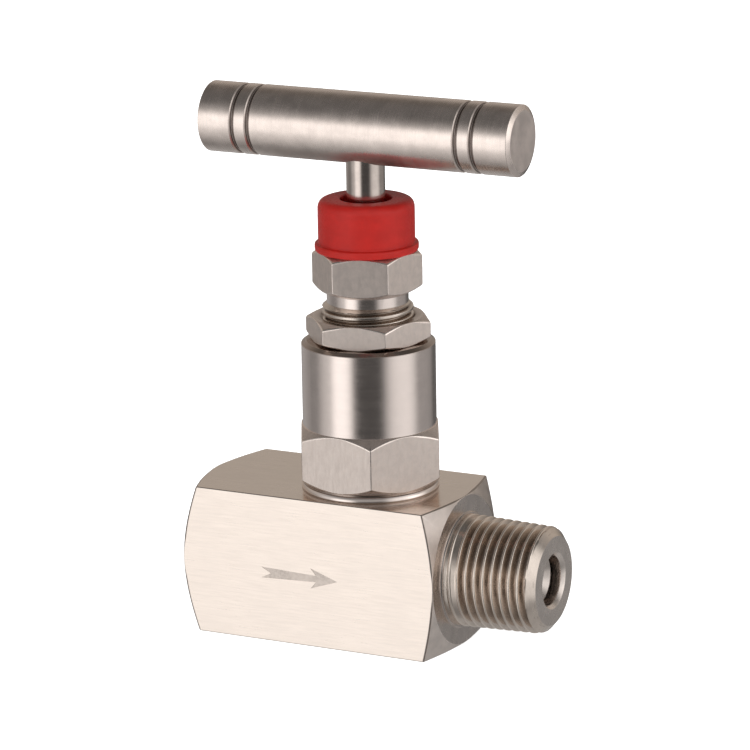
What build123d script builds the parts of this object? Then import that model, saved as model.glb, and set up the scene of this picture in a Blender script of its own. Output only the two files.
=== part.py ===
from build123d import *
import math
import os

# Instrument needle valve, 1/2-14 NPT female inlet by 1/2-14 NPT male outlet, cut from square bar.
# Millimetres. +X runs with the flow, out of the male end. -Y is the marked front face. +Z is up the stem.
# The origin is the foot of the stem axis, on the flat underside of the body.
# The valve stands shut: the needle rests in its seat.

# ---------------------------------------------------------------- sizes

# square bar body
bar_width = 30.0
body_length = 55.0
stem_to_outlet_face = 20.5
end_face_margin = 0.15
inlet_bevel_angle = 26.5
outlet_bevel_angle = 19.0

# 1/2-14 NPT threads
npt_pitch = 25.4 / 14
npt_depth = 1.45
npt_taper = 1 / 16
npt_flat = 0.16
npt_tip_pitch_dia = 19.264
npt_gauge_pitch_dia = 19.772
npt_tap_drill_dia = 18.26

# male outlet
outlet_length = 19.05
outlet_boss_dia = 22.9
outlet_boss_height = 0.35
outlet_first_crest = 3.33
outlet_nose_dia = 17.0
outlet_nose_bevel = 1.6
outlet_mouth_dia = 11.2
outlet_socket_dia = 9.8
outlet_socket_end = 36.6
outlet_bore_dia = 7.6
outlet_bore_end = 12.5
drill_point_angle = 59.0

# female inlet
inlet_thread_length = 15.0
inlet_bore_depth = 17.5
inlet_mouth_dia = 21.8

# passages, seat and needle chamber
passage_dia = 4.8
inlet_passage_drop = 6.6
orifice_dia = 4.8
seat_dia = 6.0
seat_half_angle = 30.0
chamber_dia = 13.0
chamber_depth = 6.1
seal_dia = 18.0
seal_thickness = 1.3

# bonnet
bonnet_thread_dia = 20.0
bonnet_thread_pitch = 1.5
bonnet_undercut = 1.5
collar_dia = 27.2
collar_height = 1.6
bonnet_hex_width = 27.0
bonnet_hex_height = 11.4
bonnet_hex_angle = 26.7
bonnet_hex_bevel_angle = 38.0
barrel_dia = 26.45
barrel_height = 17.0
barrel_bevel_width = 0.9
barrel_bevel_height = 0.6
guide_bore_dia = 12.0
packing_bore_dia = 16.0
packing_floor_rise = 3.5

# stem packing
packing_washer_height = 1.0
packing_adapter_base = 1.0
packing_ring_count = 4
packing_ring_height = 1.6
packing_ridge = 1.0
packing_cover_height = 1.2
follower_length = 4.4
follower_collar = 0.6

# packing adjuster, which also carries the stem's drive thread
adjuster_thread_dia = 18.0
adjuster_thread_pitch = 1.5
adjuster_first_crest = 2.7
adjuster_neck_dia = 16.1
adjuster_neck_length = 2.1
adjuster_hex_width = 19.0
adjuster_hex_height = 8.2
adjuster_hex_angle = 47.8
adjuster_hex_bevel_angle = 27.0
adjuster_spigot_dia = 15.2
adjuster_spigot_height = 6.6
thread_shown = 4.9
lead_bevel = 0.6

# lock nut
lock_nut_width = 22.0
lock_nut_height = 4.8
lock_nut_angle = 41.7
lock_nut_bevel_angle = 27.0
lock_nut_mouth_dia = 18.9
lock_nut_mouth_depth = 0.5

# dust cap
cap_dia = 19.0
cap_height = 10.3
cap_bead_dia = 20.4
cap_bead_height = 1.5
cap_top_radius = 2.7
cap_top_thickness = 1.8
cap_hole_dia = 10.2

# stem
drive_thread_dia = 10.0
drive_thread_pitch = 1.0
drive_thread_length = 16.0
drive_relief_length = 1.2
drive_relief_dia = 8.6
stem_packed_dia = 10.0
stem_shoulder_dia = 11.2
stem_shoulder_height = 0.7
stem_button_dia = 7.0
stem_button_height = 2.4
stem_neck_dia = 5.0
stem_top_dia = 7.6
stem_shown = 6.8
needle_travel = 5.0

# needle tip and what holds it to the stem
tip_end_dia = 2.4
tip_cone_dia = 9.2
tip_body_dia = 11.2
tip_body_length = 6.2
tip_socket_depth = 4.8
thrust_ball_dia = 4.0
ball_pocket_depth = 1.8
tip_pin_dia = 1.2
tip_pin_length = 8.2

# T-bar handle and its set screw
handle_dia = 14.0
handle_length = 67.2
handle_bevel_width = 1.1
handle_bevel_length = 0.5
handle_hole_depth = 11.0
handle_groove_from_end = 7.9
handle_groove_spacing = 3.36
handle_groove_width = 1.1
handle_groove_depth = 0.5
handle_groove_slope = 0.25
set_screw_dia = 4.0
set_screw_length = 3.2
set_screw_key = 2.0
set_screw_key_depth = 1.6
set_screw_flat_depth = 0.5
set_screw_flat_length = 5.0

# thread form
thread_flank_angle = 30.0
cutter_over = 0.2

# fits
running_gap = 0.05
thread_gap = 0.04
seat_gap = 0.03
push_gap = 0.10
swivel_gap = 0.30
ball_gap = 0.02

# ---------------------------------------------------------------- places worked out from the sizes

flow_z = bar_width / 2
body_top_z = bar_width
outlet_face_x = stem_to_outlet_face
inlet_face_x = outlet_face_x - body_length
outlet_tip_x = outlet_face_x + outlet_length

chamber_floor_z = flow_z - passage_dia / 2
seal_floor_z = chamber_floor_z + chamber_depth
bonnet_foot_z = seal_floor_z + seal_thickness

bonnet_hex_z = body_top_z + collar_height
barrel_z = bonnet_hex_z + bonnet_hex_height
barrel_top_z = barrel_z + barrel_height
lock_nut_top_z = barrel_top_z + lock_nut_height
adjuster_hex_z = lock_nut_top_z + thread_shown
adjuster_hex_top_z = adjuster_hex_z + adjuster_hex_height
spigot_top_z = adjuster_hex_top_z + adjuster_spigot_height
cap_top_z = adjuster_hex_top_z + cap_height
handle_z = cap_top_z + stem_shown + handle_dia / 2

packing_floor_z = body_top_z + packing_floor_rise
packing_base_z = packing_floor_z + packing_washer_height
ring_stack_z = packing_base_z + packing_adapter_base
ring_stack_top_z = ring_stack_z + packing_ring_count * packing_ring_height
packing_top_z = ring_stack_top_z + packing_ridge + packing_cover_height
adjuster_foot_z = packing_top_z + follower_length

seat_slope = 1 / math.tan(math.radians(seat_half_angle))
tip_shoulder_z = chamber_floor_z + seat_gap + (tip_cone_dia - seat_dia) / 2 * seat_slope
tip_top_z = tip_shoulder_z + tip_body_length
tip_socket_z = tip_top_z - tip_socket_depth
ball_z = tip_socket_z - ball_pocket_depth + thrust_ball_dia / 2
button_z = tip_socket_z + swivel_gap
button_top_z = button_z + stem_button_height
tip_pin_z = button_top_z + running_gap + tip_pin_dia / 2
tip_pin_x = stem_neck_dia / 2 + running_gap + tip_pin_dia / 2
shoulder_z = tip_top_z + swivel_gap
shoulder_top_z = shoulder_z + stem_shoulder_height
packed_z = shoulder_top_z + (stem_shoulder_dia - stem_packed_dia) / 2
packed_top_z = adjuster_foot_z - needle_travel - push_gap
drive_thread_z = packed_top_z + drive_relief_length
drive_thread_top_z = drive_thread_z + drive_thread_length
drive_bore_top_z = drive_thread_top_z + needle_travel + lead_bevel
stem_top_z = handle_z - handle_dia / 2 + handle_hole_depth - push_gap
stem_bore_dia = stem_packed_dia + 2 * running_gap
back_seat_z = shoulder_top_z + needle_travel + running_gap


# ---------------------------------------------------------------- helpers


def turned(points):
    """A solid turned about the stem axis from (radius, height) points."""
    outline = Polyline([(r, 0, z) for r, z in points], close=True)
    return revolve(make_face(outline), Axis.Z)


def bored(points):
    """A solid turned about the flow axis from (place along X, radius) points."""
    outline = Polyline([(x, 0, flow_z + r) for x, r in points], close=True)
    return revolve(make_face(outline), Axis((0, 0, flow_z), (1, 0, 0)))


def rod(dia, low_z, high_z):
    """A round bar on the stem axis."""
    return Pos(0, 0, (low_z + high_z) / 2) * Cylinder(dia / 2, high_z - low_z)


def crest_places(first, step, low, high):
    """Where the crests of a thread stand from one height to another, in step with the first one."""
    count_up = math.floor((high - first) / step)
    count_down = math.floor((first - low) / step)
    return [first + step * k for k in range(-count_down, count_up + 1)]


def metric_root(dia, pitch):
    """Root radius of an outside metric thread."""
    return dia / 2 - 0.6134 * pitch


def metric_bore(dia, pitch):
    """Crest radius of an inside metric thread."""
    return dia / 2 - 0.5413 * pitch


flank_slope = math.tan(math.radians(thread_flank_angle))


def cut_outside_thread(solid, dia, pitch, first_crest_z, low_z, high_z):
    """Cut a metric thread, as closed rings, round a piece that is no thicker than the root past its ends."""
    root = metric_root(dia, pitch)
    root_half = pitch / 2 - pitch / 16 - (dia / 2 - root) * flank_slope
    clear_half = pitch / 2 - pitch / 16 + cutter_over * flank_slope
    for crest in crest_places(first_crest_z, pitch, low_z - pitch / 2, high_z - pitch / 2):
        middle = crest + pitch / 2
        solid -= turned(
            [
                (dia / 2 + cutter_over, middle - clear_half),
                (root, middle - root_half),
                (root, middle + root_half),
                (dia / 2 + cutter_over, middle + clear_half),
            ]
        )
    return solid


def cut_inside_thread(solid, dia, pitch, first_crest_z, low_z, high_z):
    """Cut the mating inside thread: each ring takes one crest of the screw, with room on its flanks."""
    inner = metric_bore(dia, pitch)
    outer = dia / 2 + thread_gap
    tip = pitch / 16 + thread_gap
    foot = tip + (outer - inner + cutter_over) * flank_slope
    for crest in crest_places(first_crest_z, pitch, low_z, high_z):
        solid -= turned(
            [
                (inner - cutter_over, crest - foot),
                (outer, crest - tip),
                (outer, crest + tip),
                (inner - cutter_over, crest + foot),
            ]
        )
    return solid


def hexagon(width, angle, low_z, high_z, low_bevel, high_bevel, low_radius, high_radius):
    """A hexagon with its corners turned off by a cone at each end."""
    corner = width / math.sqrt(3)
    prism = extrude(RegularPolygon(corner, 6, rotation=angle), high_z - low_z)
    prism = Pos(0, 0, low_z) * prism
    low_rise = (corner + 1 - low_radius) * math.tan(math.radians(low_bevel))
    high_drop = (corner + 1 - high_radius) * math.tan(math.radians(high_bevel))
    envelope = turned(
        [
            (0, low_z),
            (low_radius, low_z),
            (corner + 1, low_z + low_rise),
            (corner + 1, high_z - high_drop),
            (high_radius, high_z),
            (0, high_z),
        ]
    )
    return prism & envelope


# ---------------------------------------------------------------- body


def make_body():
    """The square bar body with both ports, the passages, the seat and the well for the bonnet."""
    half = bar_width / 2
    block = Pos(inlet_face_x + body_length / 2, 0, flow_z) * Box(body_length, bar_width, bar_width)
    end_radius = half - end_face_margin
    reach = half * math.sqrt(2) + 1
    inlet_run = (reach - end_radius) * math.tan(math.radians(inlet_bevel_angle))
    outlet_run = (reach - end_radius) * math.tan(math.radians(outlet_bevel_angle))
    block &= bored(
        [
            (inlet_face_x, 0),
            (inlet_face_x, end_radius),
            (inlet_face_x + inlet_run, reach),
            (outlet_face_x - outlet_run, reach),
            (outlet_face_x, end_radius),
            (outlet_face_x, 0),
        ]
    )
    block += make_outlet_spigot()
    block -= make_inlet_hollow()
    block -= make_outlet_hollow()
    block -= make_bonnet_well()
    return cut_inside_thread(
        block,
        bonnet_thread_dia,
        bonnet_thread_pitch,
        bonnet_foot_z + bonnet_thread_pitch,
        bonnet_foot_z + bonnet_thread_pitch / 2,
        body_top_z + bonnet_thread_pitch / 2,
    )


def outlet_crest_radius(x):
    """Crest radius of the male taper thread at a place along the flow axis."""
    return (npt_tip_pitch_dia + npt_depth) / 2 + (outlet_tip_x - x) * npt_taper / 2


def make_outlet_spigot():
    """The male taper-threaded end with its stepped root and bevelled nose."""
    foot_x = outlet_face_x + outlet_boss_height
    nose_x = outlet_tip_x - outlet_nose_bevel
    spigot = bored(
        [
            (0, 0),
            (0, outlet_crest_radius(foot_x)),
            (foot_x, outlet_crest_radius(foot_x)),
            (nose_x, outlet_crest_radius(nose_x)),
            (outlet_tip_x, outlet_nose_dia / 2),
            (outlet_tip_x, 0),
        ]
    )
    crest_x = outlet_tip_x - outlet_first_crest + npt_pitch
    while crest_x - npt_pitch - npt_flat / 2 > foot_x:
        high = crest_x - npt_flat / 2
        low = crest_x - npt_pitch + npt_flat / 2
        root_high = outlet_crest_radius(high) - npt_depth
        root_low = outlet_crest_radius(low) - npt_depth
        run = (high - low - npt_flat) / 2
        over = cutter_over * flank_slope
        spigot -= bored(
            [
                (low - over, outlet_crest_radius(low) + cutter_over),
                (low + run, root_low),
                (high - run, root_high),
                (high + over, outlet_crest_radius(high) + cutter_over),
            ]
        )
        crest_x -= npt_pitch
    boss = bored(
        [
            (0, 0),
            (0, outlet_boss_dia / 2),
            (foot_x, outlet_boss_dia / 2),
            (foot_x, 0),
        ]
    )
    return spigot + boss


def make_inlet_hollow():
    """The female taper-threaded port, its drill point and the low passage to the seat."""
    drill_radius = npt_tap_drill_dia / 2
    floor_x = inlet_face_x + inlet_bore_depth
    point_x = floor_x + drill_radius / math.tan(math.radians(drill_point_angle))
    mouth_run = (inlet_mouth_dia - npt_tap_drill_dia) / 2
    hollow = bored(
        [
            (inlet_face_x - 1, 0),
            (inlet_face_x - 1, inlet_mouth_dia / 2),
            (inlet_face_x, inlet_mouth_dia / 2),
            (inlet_face_x + mouth_run, drill_radius),
            (floor_x, drill_radius),
            (point_x, 0),
        ]
    )
    crest_x = inlet_face_x + mouth_run + npt_pitch / 2
    while crest_x + npt_pitch / 2 < inlet_face_x + inlet_thread_length:
        root = (npt_gauge_pitch_dia + npt_depth) / 2 - (crest_x - inlet_face_x) * npt_taper / 2
        half_foot = npt_flat / 2 + (root - drill_radius + cutter_over) * flank_slope
        hollow += bored(
            [
                (crest_x - half_foot, drill_radius - cutter_over),
                (crest_x - npt_flat / 2, root),
                (crest_x + npt_flat / 2, root),
                (crest_x + half_foot, drill_radius - cutter_over),
            ]
        )
        crest_x += npt_pitch
    passage_z = flow_z - inlet_passage_drop
    passage_start_x = floor_x - 1
    passage_length = passage_dia / 2 - passage_start_x
    passage = Cylinder(passage_dia / 2, passage_length, rotation=(0, 90, 0))
    passage = Pos(passage_start_x + passage_length / 2, 0, passage_z) * passage
    orifice = rod(orifice_dia, passage_z, chamber_floor_z + 1)
    return hollow + passage + orifice


def make_outlet_hollow():
    """The stepped outlet bore with its bevelled mouth, drill point and the passage from the chamber."""
    radius = outlet_bore_dia / 2
    socket_radius = outlet_socket_dia / 2
    point_x = outlet_bore_end - radius / math.tan(math.radians(drill_point_angle))
    step_run = socket_radius - radius
    mouth_run = (outlet_mouth_dia - outlet_socket_dia) / 2
    hollow = bored(
        [
            (point_x, 0),
            (outlet_bore_end, radius),
            (outlet_socket_end - step_run, radius),
            (outlet_socket_end, socket_radius),
            (outlet_tip_x - mouth_run, socket_radius),
            (outlet_tip_x, outlet_mouth_dia / 2),
            (outlet_tip_x + 1, outlet_mouth_dia / 2),
            (outlet_tip_x + 1, 0),
        ]
    )
    passage = Cylinder(passage_dia / 2, outlet_bore_end, rotation=(0, 90, 0))
    return hollow + Pos(outlet_bore_end / 2, 0, flow_z) * passage


def make_bonnet_well():
    """The threaded well that takes the bonnet, the seal ledge, the needle chamber and the seat."""
    seat_depth = (seat_dia - orifice_dia) / 2 * seat_slope
    inner = metric_bore(bonnet_thread_dia, bonnet_thread_pitch)
    return turned(
        [
            (0, chamber_floor_z - seat_depth),
            (orifice_dia / 2, chamber_floor_z - seat_depth),
            (seat_dia / 2, chamber_floor_z),
            (chamber_dia / 2, chamber_floor_z),
            (chamber_dia / 2, seal_floor_z),
            (seal_dia / 2 + running_gap, seal_floor_z),
            (seal_dia / 2 + running_gap, bonnet_foot_z),
            (inner, bonnet_foot_z),
            (inner, body_top_z - lead_bevel),
            (inner + lead_bevel, body_top_z),
            (inner + lead_bevel, body_top_z + 1),
            (0, body_top_z + 1),
        ]
    )


# ---------------------------------------------------------------- bonnet and what it holds


def make_bonnet():
    """The bonnet: threaded foot, collar, hexagon, round barrel, packing bore and adjuster thread."""
    crest_radius = bonnet_thread_dia / 2
    root_radius = metric_root(bonnet_thread_dia, bonnet_thread_pitch)
    thread_depth = crest_radius - root_radius
    undercut_z = body_top_z - bonnet_undercut
    foot = turned(
        [
            (0, bonnet_foot_z),
            (root_radius, bonnet_foot_z),
            (root_radius, bonnet_foot_z + bonnet_thread_pitch / 2),
            (crest_radius, bonnet_foot_z + bonnet_thread_pitch / 2 + thread_depth),
            (crest_radius, undercut_z - thread_depth),
            (root_radius, undercut_z),
            (root_radius, body_top_z),
            (0, body_top_z),
        ]
    )
    foot = cut_outside_thread(
        foot,
        bonnet_thread_dia,
        bonnet_thread_pitch,
        bonnet_foot_z + bonnet_thread_pitch,
        bonnet_foot_z,
        undercut_z,
    )
    collar = rod(collar_dia, body_top_z, bonnet_hex_z)
    hexa = hexagon(
        bonnet_hex_width,
        bonnet_hex_angle - 90,
        bonnet_hex_z,
        barrel_z,
        bonnet_hex_bevel_angle,
        bonnet_hex_bevel_angle,
        bonnet_hex_width / 2,
        bonnet_hex_width / 2,
    )
    barrel_radius = barrel_dia / 2
    barrel = turned(
        [
            (0, barrel_z),
            (barrel_radius, barrel_z),
            (barrel_radius, barrel_top_z - barrel_bevel_height),
            (barrel_radius - barrel_bevel_width, barrel_top_z),
            (0, barrel_top_z),
        ]
    )
    thread_bore = metric_bore(adjuster_thread_dia, adjuster_thread_pitch)
    guide_radius = guide_bore_dia / 2
    stem_radius = stem_bore_dia / 2
    cone_foot_z = back_seat_z - (guide_radius - stem_shoulder_dia / 2)
    cone_top_z = cone_foot_z + guide_radius - stem_radius
    hollow = turned(
        [
            (0, bonnet_foot_z - 1),
            (guide_radius, bonnet_foot_z - 1),
            (guide_radius, cone_foot_z),
            (stem_radius, cone_top_z),
            (stem_radius, packing_floor_z),
            (packing_bore_dia / 2, packing_floor_z),
            (packing_bore_dia / 2, packing_top_z),
            (thread_bore, packing_top_z),
            (thread_bore, barrel_top_z - lead_bevel),
            (thread_bore + lead_bevel, barrel_top_z),
            (thread_bore + lead_bevel, barrel_top_z + 1),
            (0, barrel_top_z + 1),
        ]
    )
    bonnet = foot + collar + hexa + barrel - hollow
    return cut_inside_thread(
        bonnet,
        adjuster_thread_dia,
        adjuster_thread_pitch,
        adjuster_crest_z(),
        packing_top_z + adjuster_thread_pitch,
        barrel_top_z + adjuster_thread_pitch / 2,
    )


def adjuster_crest_z():
    """Height of the topmost full crest of the adjuster's outside thread."""
    return adjuster_hex_z - adjuster_first_crest


def make_bonnet_seal():
    """The flat seal that the foot of the bonnet clamps on its ledge in the body."""
    return rod(seal_dia, seal_floor_z, bonnet_foot_z) - rod(chamber_dia, seal_floor_z, bonnet_foot_z)


def packing_ring_outline(low_z, flat_low, high_z, flat_high):
    """Half section of a packing piece that fills the ring space round the stem."""
    inner = stem_bore_dia / 2
    outer = packing_bore_dia / 2
    middle = (inner + outer) / 2
    low_ridge = 0 if flat_low else packing_ridge
    high_ridge = 0 if flat_high else packing_ridge
    points = [(inner, low_z)]
    if low_ridge:
        points.append((middle, low_z + low_ridge))
    points.append((outer, low_z))
    points.append((outer, high_z))
    if high_ridge:
        points.append((middle, high_z + high_ridge))
    points.append((inner, high_z))
    return points


def make_packing_washer():
    """The metal washer on the floor of the packing bore."""
    return turned(packing_ring_outline(packing_floor_z, True, packing_base_z, True))


def make_packing_base():
    """The bottom adapter: flat below, ridged above to open the first V-ring."""
    return turned(packing_ring_outline(packing_base_z, True, ring_stack_z, False))


def make_packing_ring(number):
    """One V-ring of the stack, its lips towards the pressure."""
    low_z = ring_stack_z + number * packing_ring_height
    return turned(packing_ring_outline(low_z, False, low_z + packing_ring_height, False))


def make_packing_cover():
    """The top adapter: hollowed below over the last V-ring, flat above."""
    return turned(packing_ring_outline(ring_stack_top_z, False, packing_top_z, True))


def make_gland_follower():
    """The bush between the adjuster and the packing, stepped to centre on the stem."""
    outer = packing_bore_dia / 2 - running_gap
    body = rod(2 * outer, packing_top_z, adjuster_foot_z)
    groove = rod(2 * outer + 2, packing_top_z + follower_collar, adjuster_foot_z - follower_collar)
    groove -= rod(2 * outer - 2 * lead_bevel, packing_top_z, adjuster_foot_z)
    return body - groove - rod(stem_bore_dia, packing_top_z - 1, adjuster_foot_z + 1)


def make_packing_adjuster():
    """The adjuster: outside thread, relief neck, hexagon and the spigot that takes the dust cap."""
    thread_top_z = adjuster_hex_z - adjuster_neck_length
    shank = turned(
        [
            (0, adjuster_foot_z),
            (adjuster_thread_dia / 2 - lead_bevel, adjuster_foot_z),
            (adjuster_thread_dia / 2, adjuster_foot_z + lead_bevel),
            (adjuster_thread_dia / 2, thread_top_z - lead_bevel),
            (adjuster_neck_dia / 2, thread_top_z),
            (adjuster_neck_dia / 2, adjuster_hex_z),
            (0, adjuster_hex_z),
        ]
    )
    shank = cut_outside_thread(
        shank,
        adjuster_thread_dia,
        adjuster_thread_pitch,
        adjuster_crest_z(),
        adjuster_foot_z,
        thread_top_z,
    )
    hexa = hexagon(
        adjuster_hex_width,
        adjuster_hex_angle - 90,
        adjuster_hex_z,
        adjuster_hex_top_z,
        adjuster_hex_bevel_angle,
        adjuster_hex_bevel_angle,
        adjuster_neck_dia / 2 + lead_bevel / 4,
        adjuster_hex_width / 2,
    )
    spigot_radius = adjuster_spigot_dia / 2
    spigot = turned(
        [
            (0, adjuster_hex_top_z),
            (spigot_radius, adjuster_hex_top_z),
            (spigot_radius, spigot_top_z - lead_bevel),
            (spigot_radius - lead_bevel, spigot_top_z),
            (0, spigot_top_z),
        ]
    )
    drive_radius = drive_thread_dia / 2 + running_gap
    top_radius = stem_top_dia / 2 + 2 * push_gap
    hollow = turned(
        [
            (0, adjuster_foot_z - 1),
            (drive_radius, adjuster_foot_z - 1),
            (drive_radius, drive_bore_top_z),
            (top_radius, drive_bore_top_z + drive_radius - top_radius),
            (top_radius, spigot_top_z + 1),
            (0, spigot_top_z + 1),
        ]
    )
    return shank + hexa + spigot - hollow


def make_lock_nut():
    """The nut that locks the adjuster against the bonnet."""
    nut = hexagon(
        lock_nut_width,
        lock_nut_angle - 90,
        barrel_top_z,
        lock_nut_top_z,
        lock_nut_bevel_angle,
        lock_nut_bevel_angle,
        lock_nut_width / 2,
        lock_nut_width / 2,
    )
    bore = metric_bore(adjuster_thread_dia, adjuster_thread_pitch)
    mouth = lock_nut_mouth_dia / 2
    nut -= turned(
        [
            (0, barrel_top_z - 1),
            (mouth, barrel_top_z - 1),
            (mouth, barrel_top_z),
            (bore, barrel_top_z + lock_nut_mouth_depth),
            (bore, lock_nut_top_z - lock_nut_mouth_depth),
            (mouth, lock_nut_top_z),
            (mouth, lock_nut_top_z + 1),
            (0, lock_nut_top_z + 1),
        ]
    )
    return cut_inside_thread(
        nut,
        adjuster_thread_dia,
        adjuster_thread_pitch,
        adjuster_crest_z(),
        barrel_top_z - adjuster_thread_pitch / 2,
        lock_nut_top_z + adjuster_thread_pitch / 2,
    )


def make_dust_cap():
    """The soft cap pushed over the spigot, with a bead at its rim and a hole for the stem."""
    radius = cap_dia / 2
    inner = adjuster_spigot_dia / 2 + push_gap
    foot_z = adjuster_hex_top_z
    cap = rod(cap_dia, foot_z, cap_top_z)
    top_edge = cap.edges().filter_by(GeomType.CIRCLE).sort_by(Axis.Z)[-1]
    cap = fillet(top_edge, cap_top_radius)
    bead = rod(cap_bead_dia, foot_z, foot_z + cap_bead_height)
    bead = fillet(bead.edges().filter_by(GeomType.CIRCLE), cap_bead_height * 0.45)
    cap += bead
    cap -= rod(2 * inner, foot_z - 1, cap_top_z - cap_top_thickness)
    return cap - rod(cap_hole_dia, foot_z, cap_top_z + 1)


# ---------------------------------------------------------------- needle tip, ball and pins


def make_needle_tip():
    """The tip that shuts the seat. It rides on the stem but does not turn with it."""
    end_z = tip_shoulder_z - (tip_cone_dia - tip_end_dia) / 2 * seat_slope
    body_radius = tip_body_dia / 2
    socket_radius = stem_button_dia / 2 + running_gap
    pocket_radius = thrust_ball_dia / 2 + running_gap
    shoulder_rise = (tip_body_dia - tip_cone_dia) / 2
    tip = turned(
        [
            (0, end_z),
            (tip_end_dia / 2, end_z),
            (tip_cone_dia / 2, tip_shoulder_z),
            (body_radius, tip_shoulder_z + shoulder_rise),
            (body_radius, tip_top_z),
            (socket_radius, tip_top_z),
            (socket_radius, tip_socket_z),
            (pocket_radius, tip_socket_z),
            (pocket_radius, tip_socket_z - ball_pocket_depth),
            (0, tip_socket_z - ball_pocket_depth),
        ]
    )
    return tip - make_tip_pins(2 * body_radius)


def make_tip_pins(length):
    """The two cross pins that run in the neck of the stem and keep the tip on it."""
    pin = Cylinder(tip_pin_dia / 2, length, rotation=(90, 0, 0))
    return Pos(tip_pin_x, 0, tip_pin_z) * pin + Pos(-tip_pin_x, 0, tip_pin_z) * pin


def make_thrust_ball():
    """The ball that carries the closing thrust from the stem to the tip."""
    return Pos(0, 0, ball_z) * Sphere(thrust_ball_dia / 2)


# ---------------------------------------------------------------- stem, handle and set screw


def make_stem():
    """The stem: button, neck, back-seat shoulder, packed length, drive thread and top shank."""
    button_radius = stem_button_dia / 2
    shoulder_radius = stem_shoulder_dia / 2
    packed_radius = stem_packed_dia / 2
    crest_radius = drive_thread_dia / 2 - thread_gap
    relief_radius = drive_relief_dia / 2
    top_radius = stem_top_dia / 2
    pocket_radius = thrust_ball_dia / 2 + running_gap
    pocket_top_z = ball_z + thrust_ball_dia / 2 + ball_gap
    stem = turned(
        [
            (pocket_radius, button_z),
            (button_radius, button_z),
            (button_radius, button_top_z),
            (stem_neck_dia / 2, button_top_z),
            (stem_neck_dia / 2, shoulder_z),
            (shoulder_radius, shoulder_z),
            (shoulder_radius, shoulder_top_z),
            (packed_radius, packed_z),
            (packed_radius, packed_top_z),
            (relief_radius, packed_top_z),
            (relief_radius, drive_thread_z),
            (crest_radius, drive_thread_z),
            (crest_radius, drive_thread_top_z),
            (top_radius, drive_thread_top_z + crest_radius - top_radius),
            (top_radius, stem_top_z - lead_bevel),
            (top_radius - lead_bevel, stem_top_z),
            (0, stem_top_z),
            (0, pocket_top_z),
            (pocket_radius, pocket_top_z),
        ]
    )
    stem = cut_outside_thread(
        stem,
        drive_thread_dia - 2 * thread_gap,
        drive_thread_pitch,
        drive_thread_z + drive_thread_pitch,
        drive_thread_z,
        drive_thread_top_z,
    )
    flat_y = top_radius - set_screw_flat_depth
    flat = Box(stem_top_dia, stem_top_dia, set_screw_flat_length)
    return stem - Pos(0, flat_y + stem_top_dia / 2, handle_z) * flat


def make_handle_bar():
    """The round T-bar with two grooves near each end and a blind hole for the stem."""
    radius = handle_dia / 2
    half = handle_length / 2
    bevel_x = half - handle_bevel_length
    lead = handle_groove_depth * handle_groove_slope
    outline = [(0, 0, -half), (radius - handle_bevel_width, 0, -half), (radius, 0, -bevel_x)]
    outline += [(radius, 0, bevel_x), (radius - handle_bevel_width, 0, half), (0, 0, half)]
    bar = revolve(make_face(Polyline(outline, close=True)), Axis.Z)
    far = half - handle_groove_from_end
    near = far - handle_groove_spacing
    for place in (-far, -near, near, far):
        half_width = handle_groove_width / 2
        groove = [
            (radius - handle_groove_depth, 0, place - half_width + lead),
            (radius + 1, 0, place - half_width - lead),
            (radius + 1, 0, place + half_width + lead),
            (radius - handle_groove_depth, 0, place + half_width - lead),
        ]
        bar -= revolve(make_face(Polyline(groove, close=True)), Axis.Z)
    bar = Pos(0, 0, handle_z) * (Rot(0, 90, 0) * bar)
    foot_z = handle_z - radius
    bar -= rod(stem_top_dia + 2 * ball_gap, foot_z - 1, foot_z + handle_hole_depth)
    flat_y = stem_top_dia / 2 - set_screw_flat_depth
    hole = Cylinder(set_screw_dia / 2, radius + 1 - flat_y, rotation=(90, 0, 0))
    return bar - Pos(0, (radius + 1 + flat_y) / 2, handle_z) * hole


def make_set_screw():
    """The socket set screw in the back of the bar, down on the flat of the stem."""
    flat_y = stem_top_dia / 2 - set_screw_flat_depth
    screw = Cylinder(set_screw_dia / 2, set_screw_length, rotation=(90, 0, 0))
    screw = Pos(0, flat_y + set_screw_length / 2, handle_z) * screw
    key = extrude(RegularPolygon(set_screw_key / math.sqrt(3), 6), set_screw_key_depth)
    key = Pos(0, flat_y + set_screw_length, handle_z) * (Rot(90, 0, 0) * key)
    return screw - key


# ---------------------------------------------------------------- write the pieces

pieces = {
    "body": make_body(),
    "bonnet": make_bonnet(),
    "bonnet_seal": make_bonnet_seal(),
    "packing_washer": make_packing_washer(),
    "packing_base_adapter": make_packing_base(),
    "packing_top_adapter": make_packing_cover(),
    "gland_follower": make_gland_follower(),
    "packing_adjuster": make_packing_adjuster(),
    "lock_nut": make_lock_nut(),
    "dust_cap": make_dust_cap(),
    "needle_tip": make_needle_tip(),
    "tip_pins": make_tip_pins(tip_pin_length),
    "thrust_ball": make_thrust_ball(),
    "stem": make_stem(),
    "handle_bar": make_handle_bar(),
    "handle_set_screw": make_set_screw(),
}
for ring in range(packing_ring_count):
    pieces[f"packing_v_ring_{ring + 1}"] = make_packing_ring(ring)

os.makedirs("parts", exist_ok=True)
for name, shape in pieces.items():
    export_step(shape, f"parts/{name}.step")
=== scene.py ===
"""Dressed model of a needle valve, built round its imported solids, in metres."""
import logging
import math
from dataclasses import dataclass
from enum import Enum, IntEnum
from typing import Callable, Sequence

import bmesh
import bpy
from mathutils import Matrix, Vector


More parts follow.
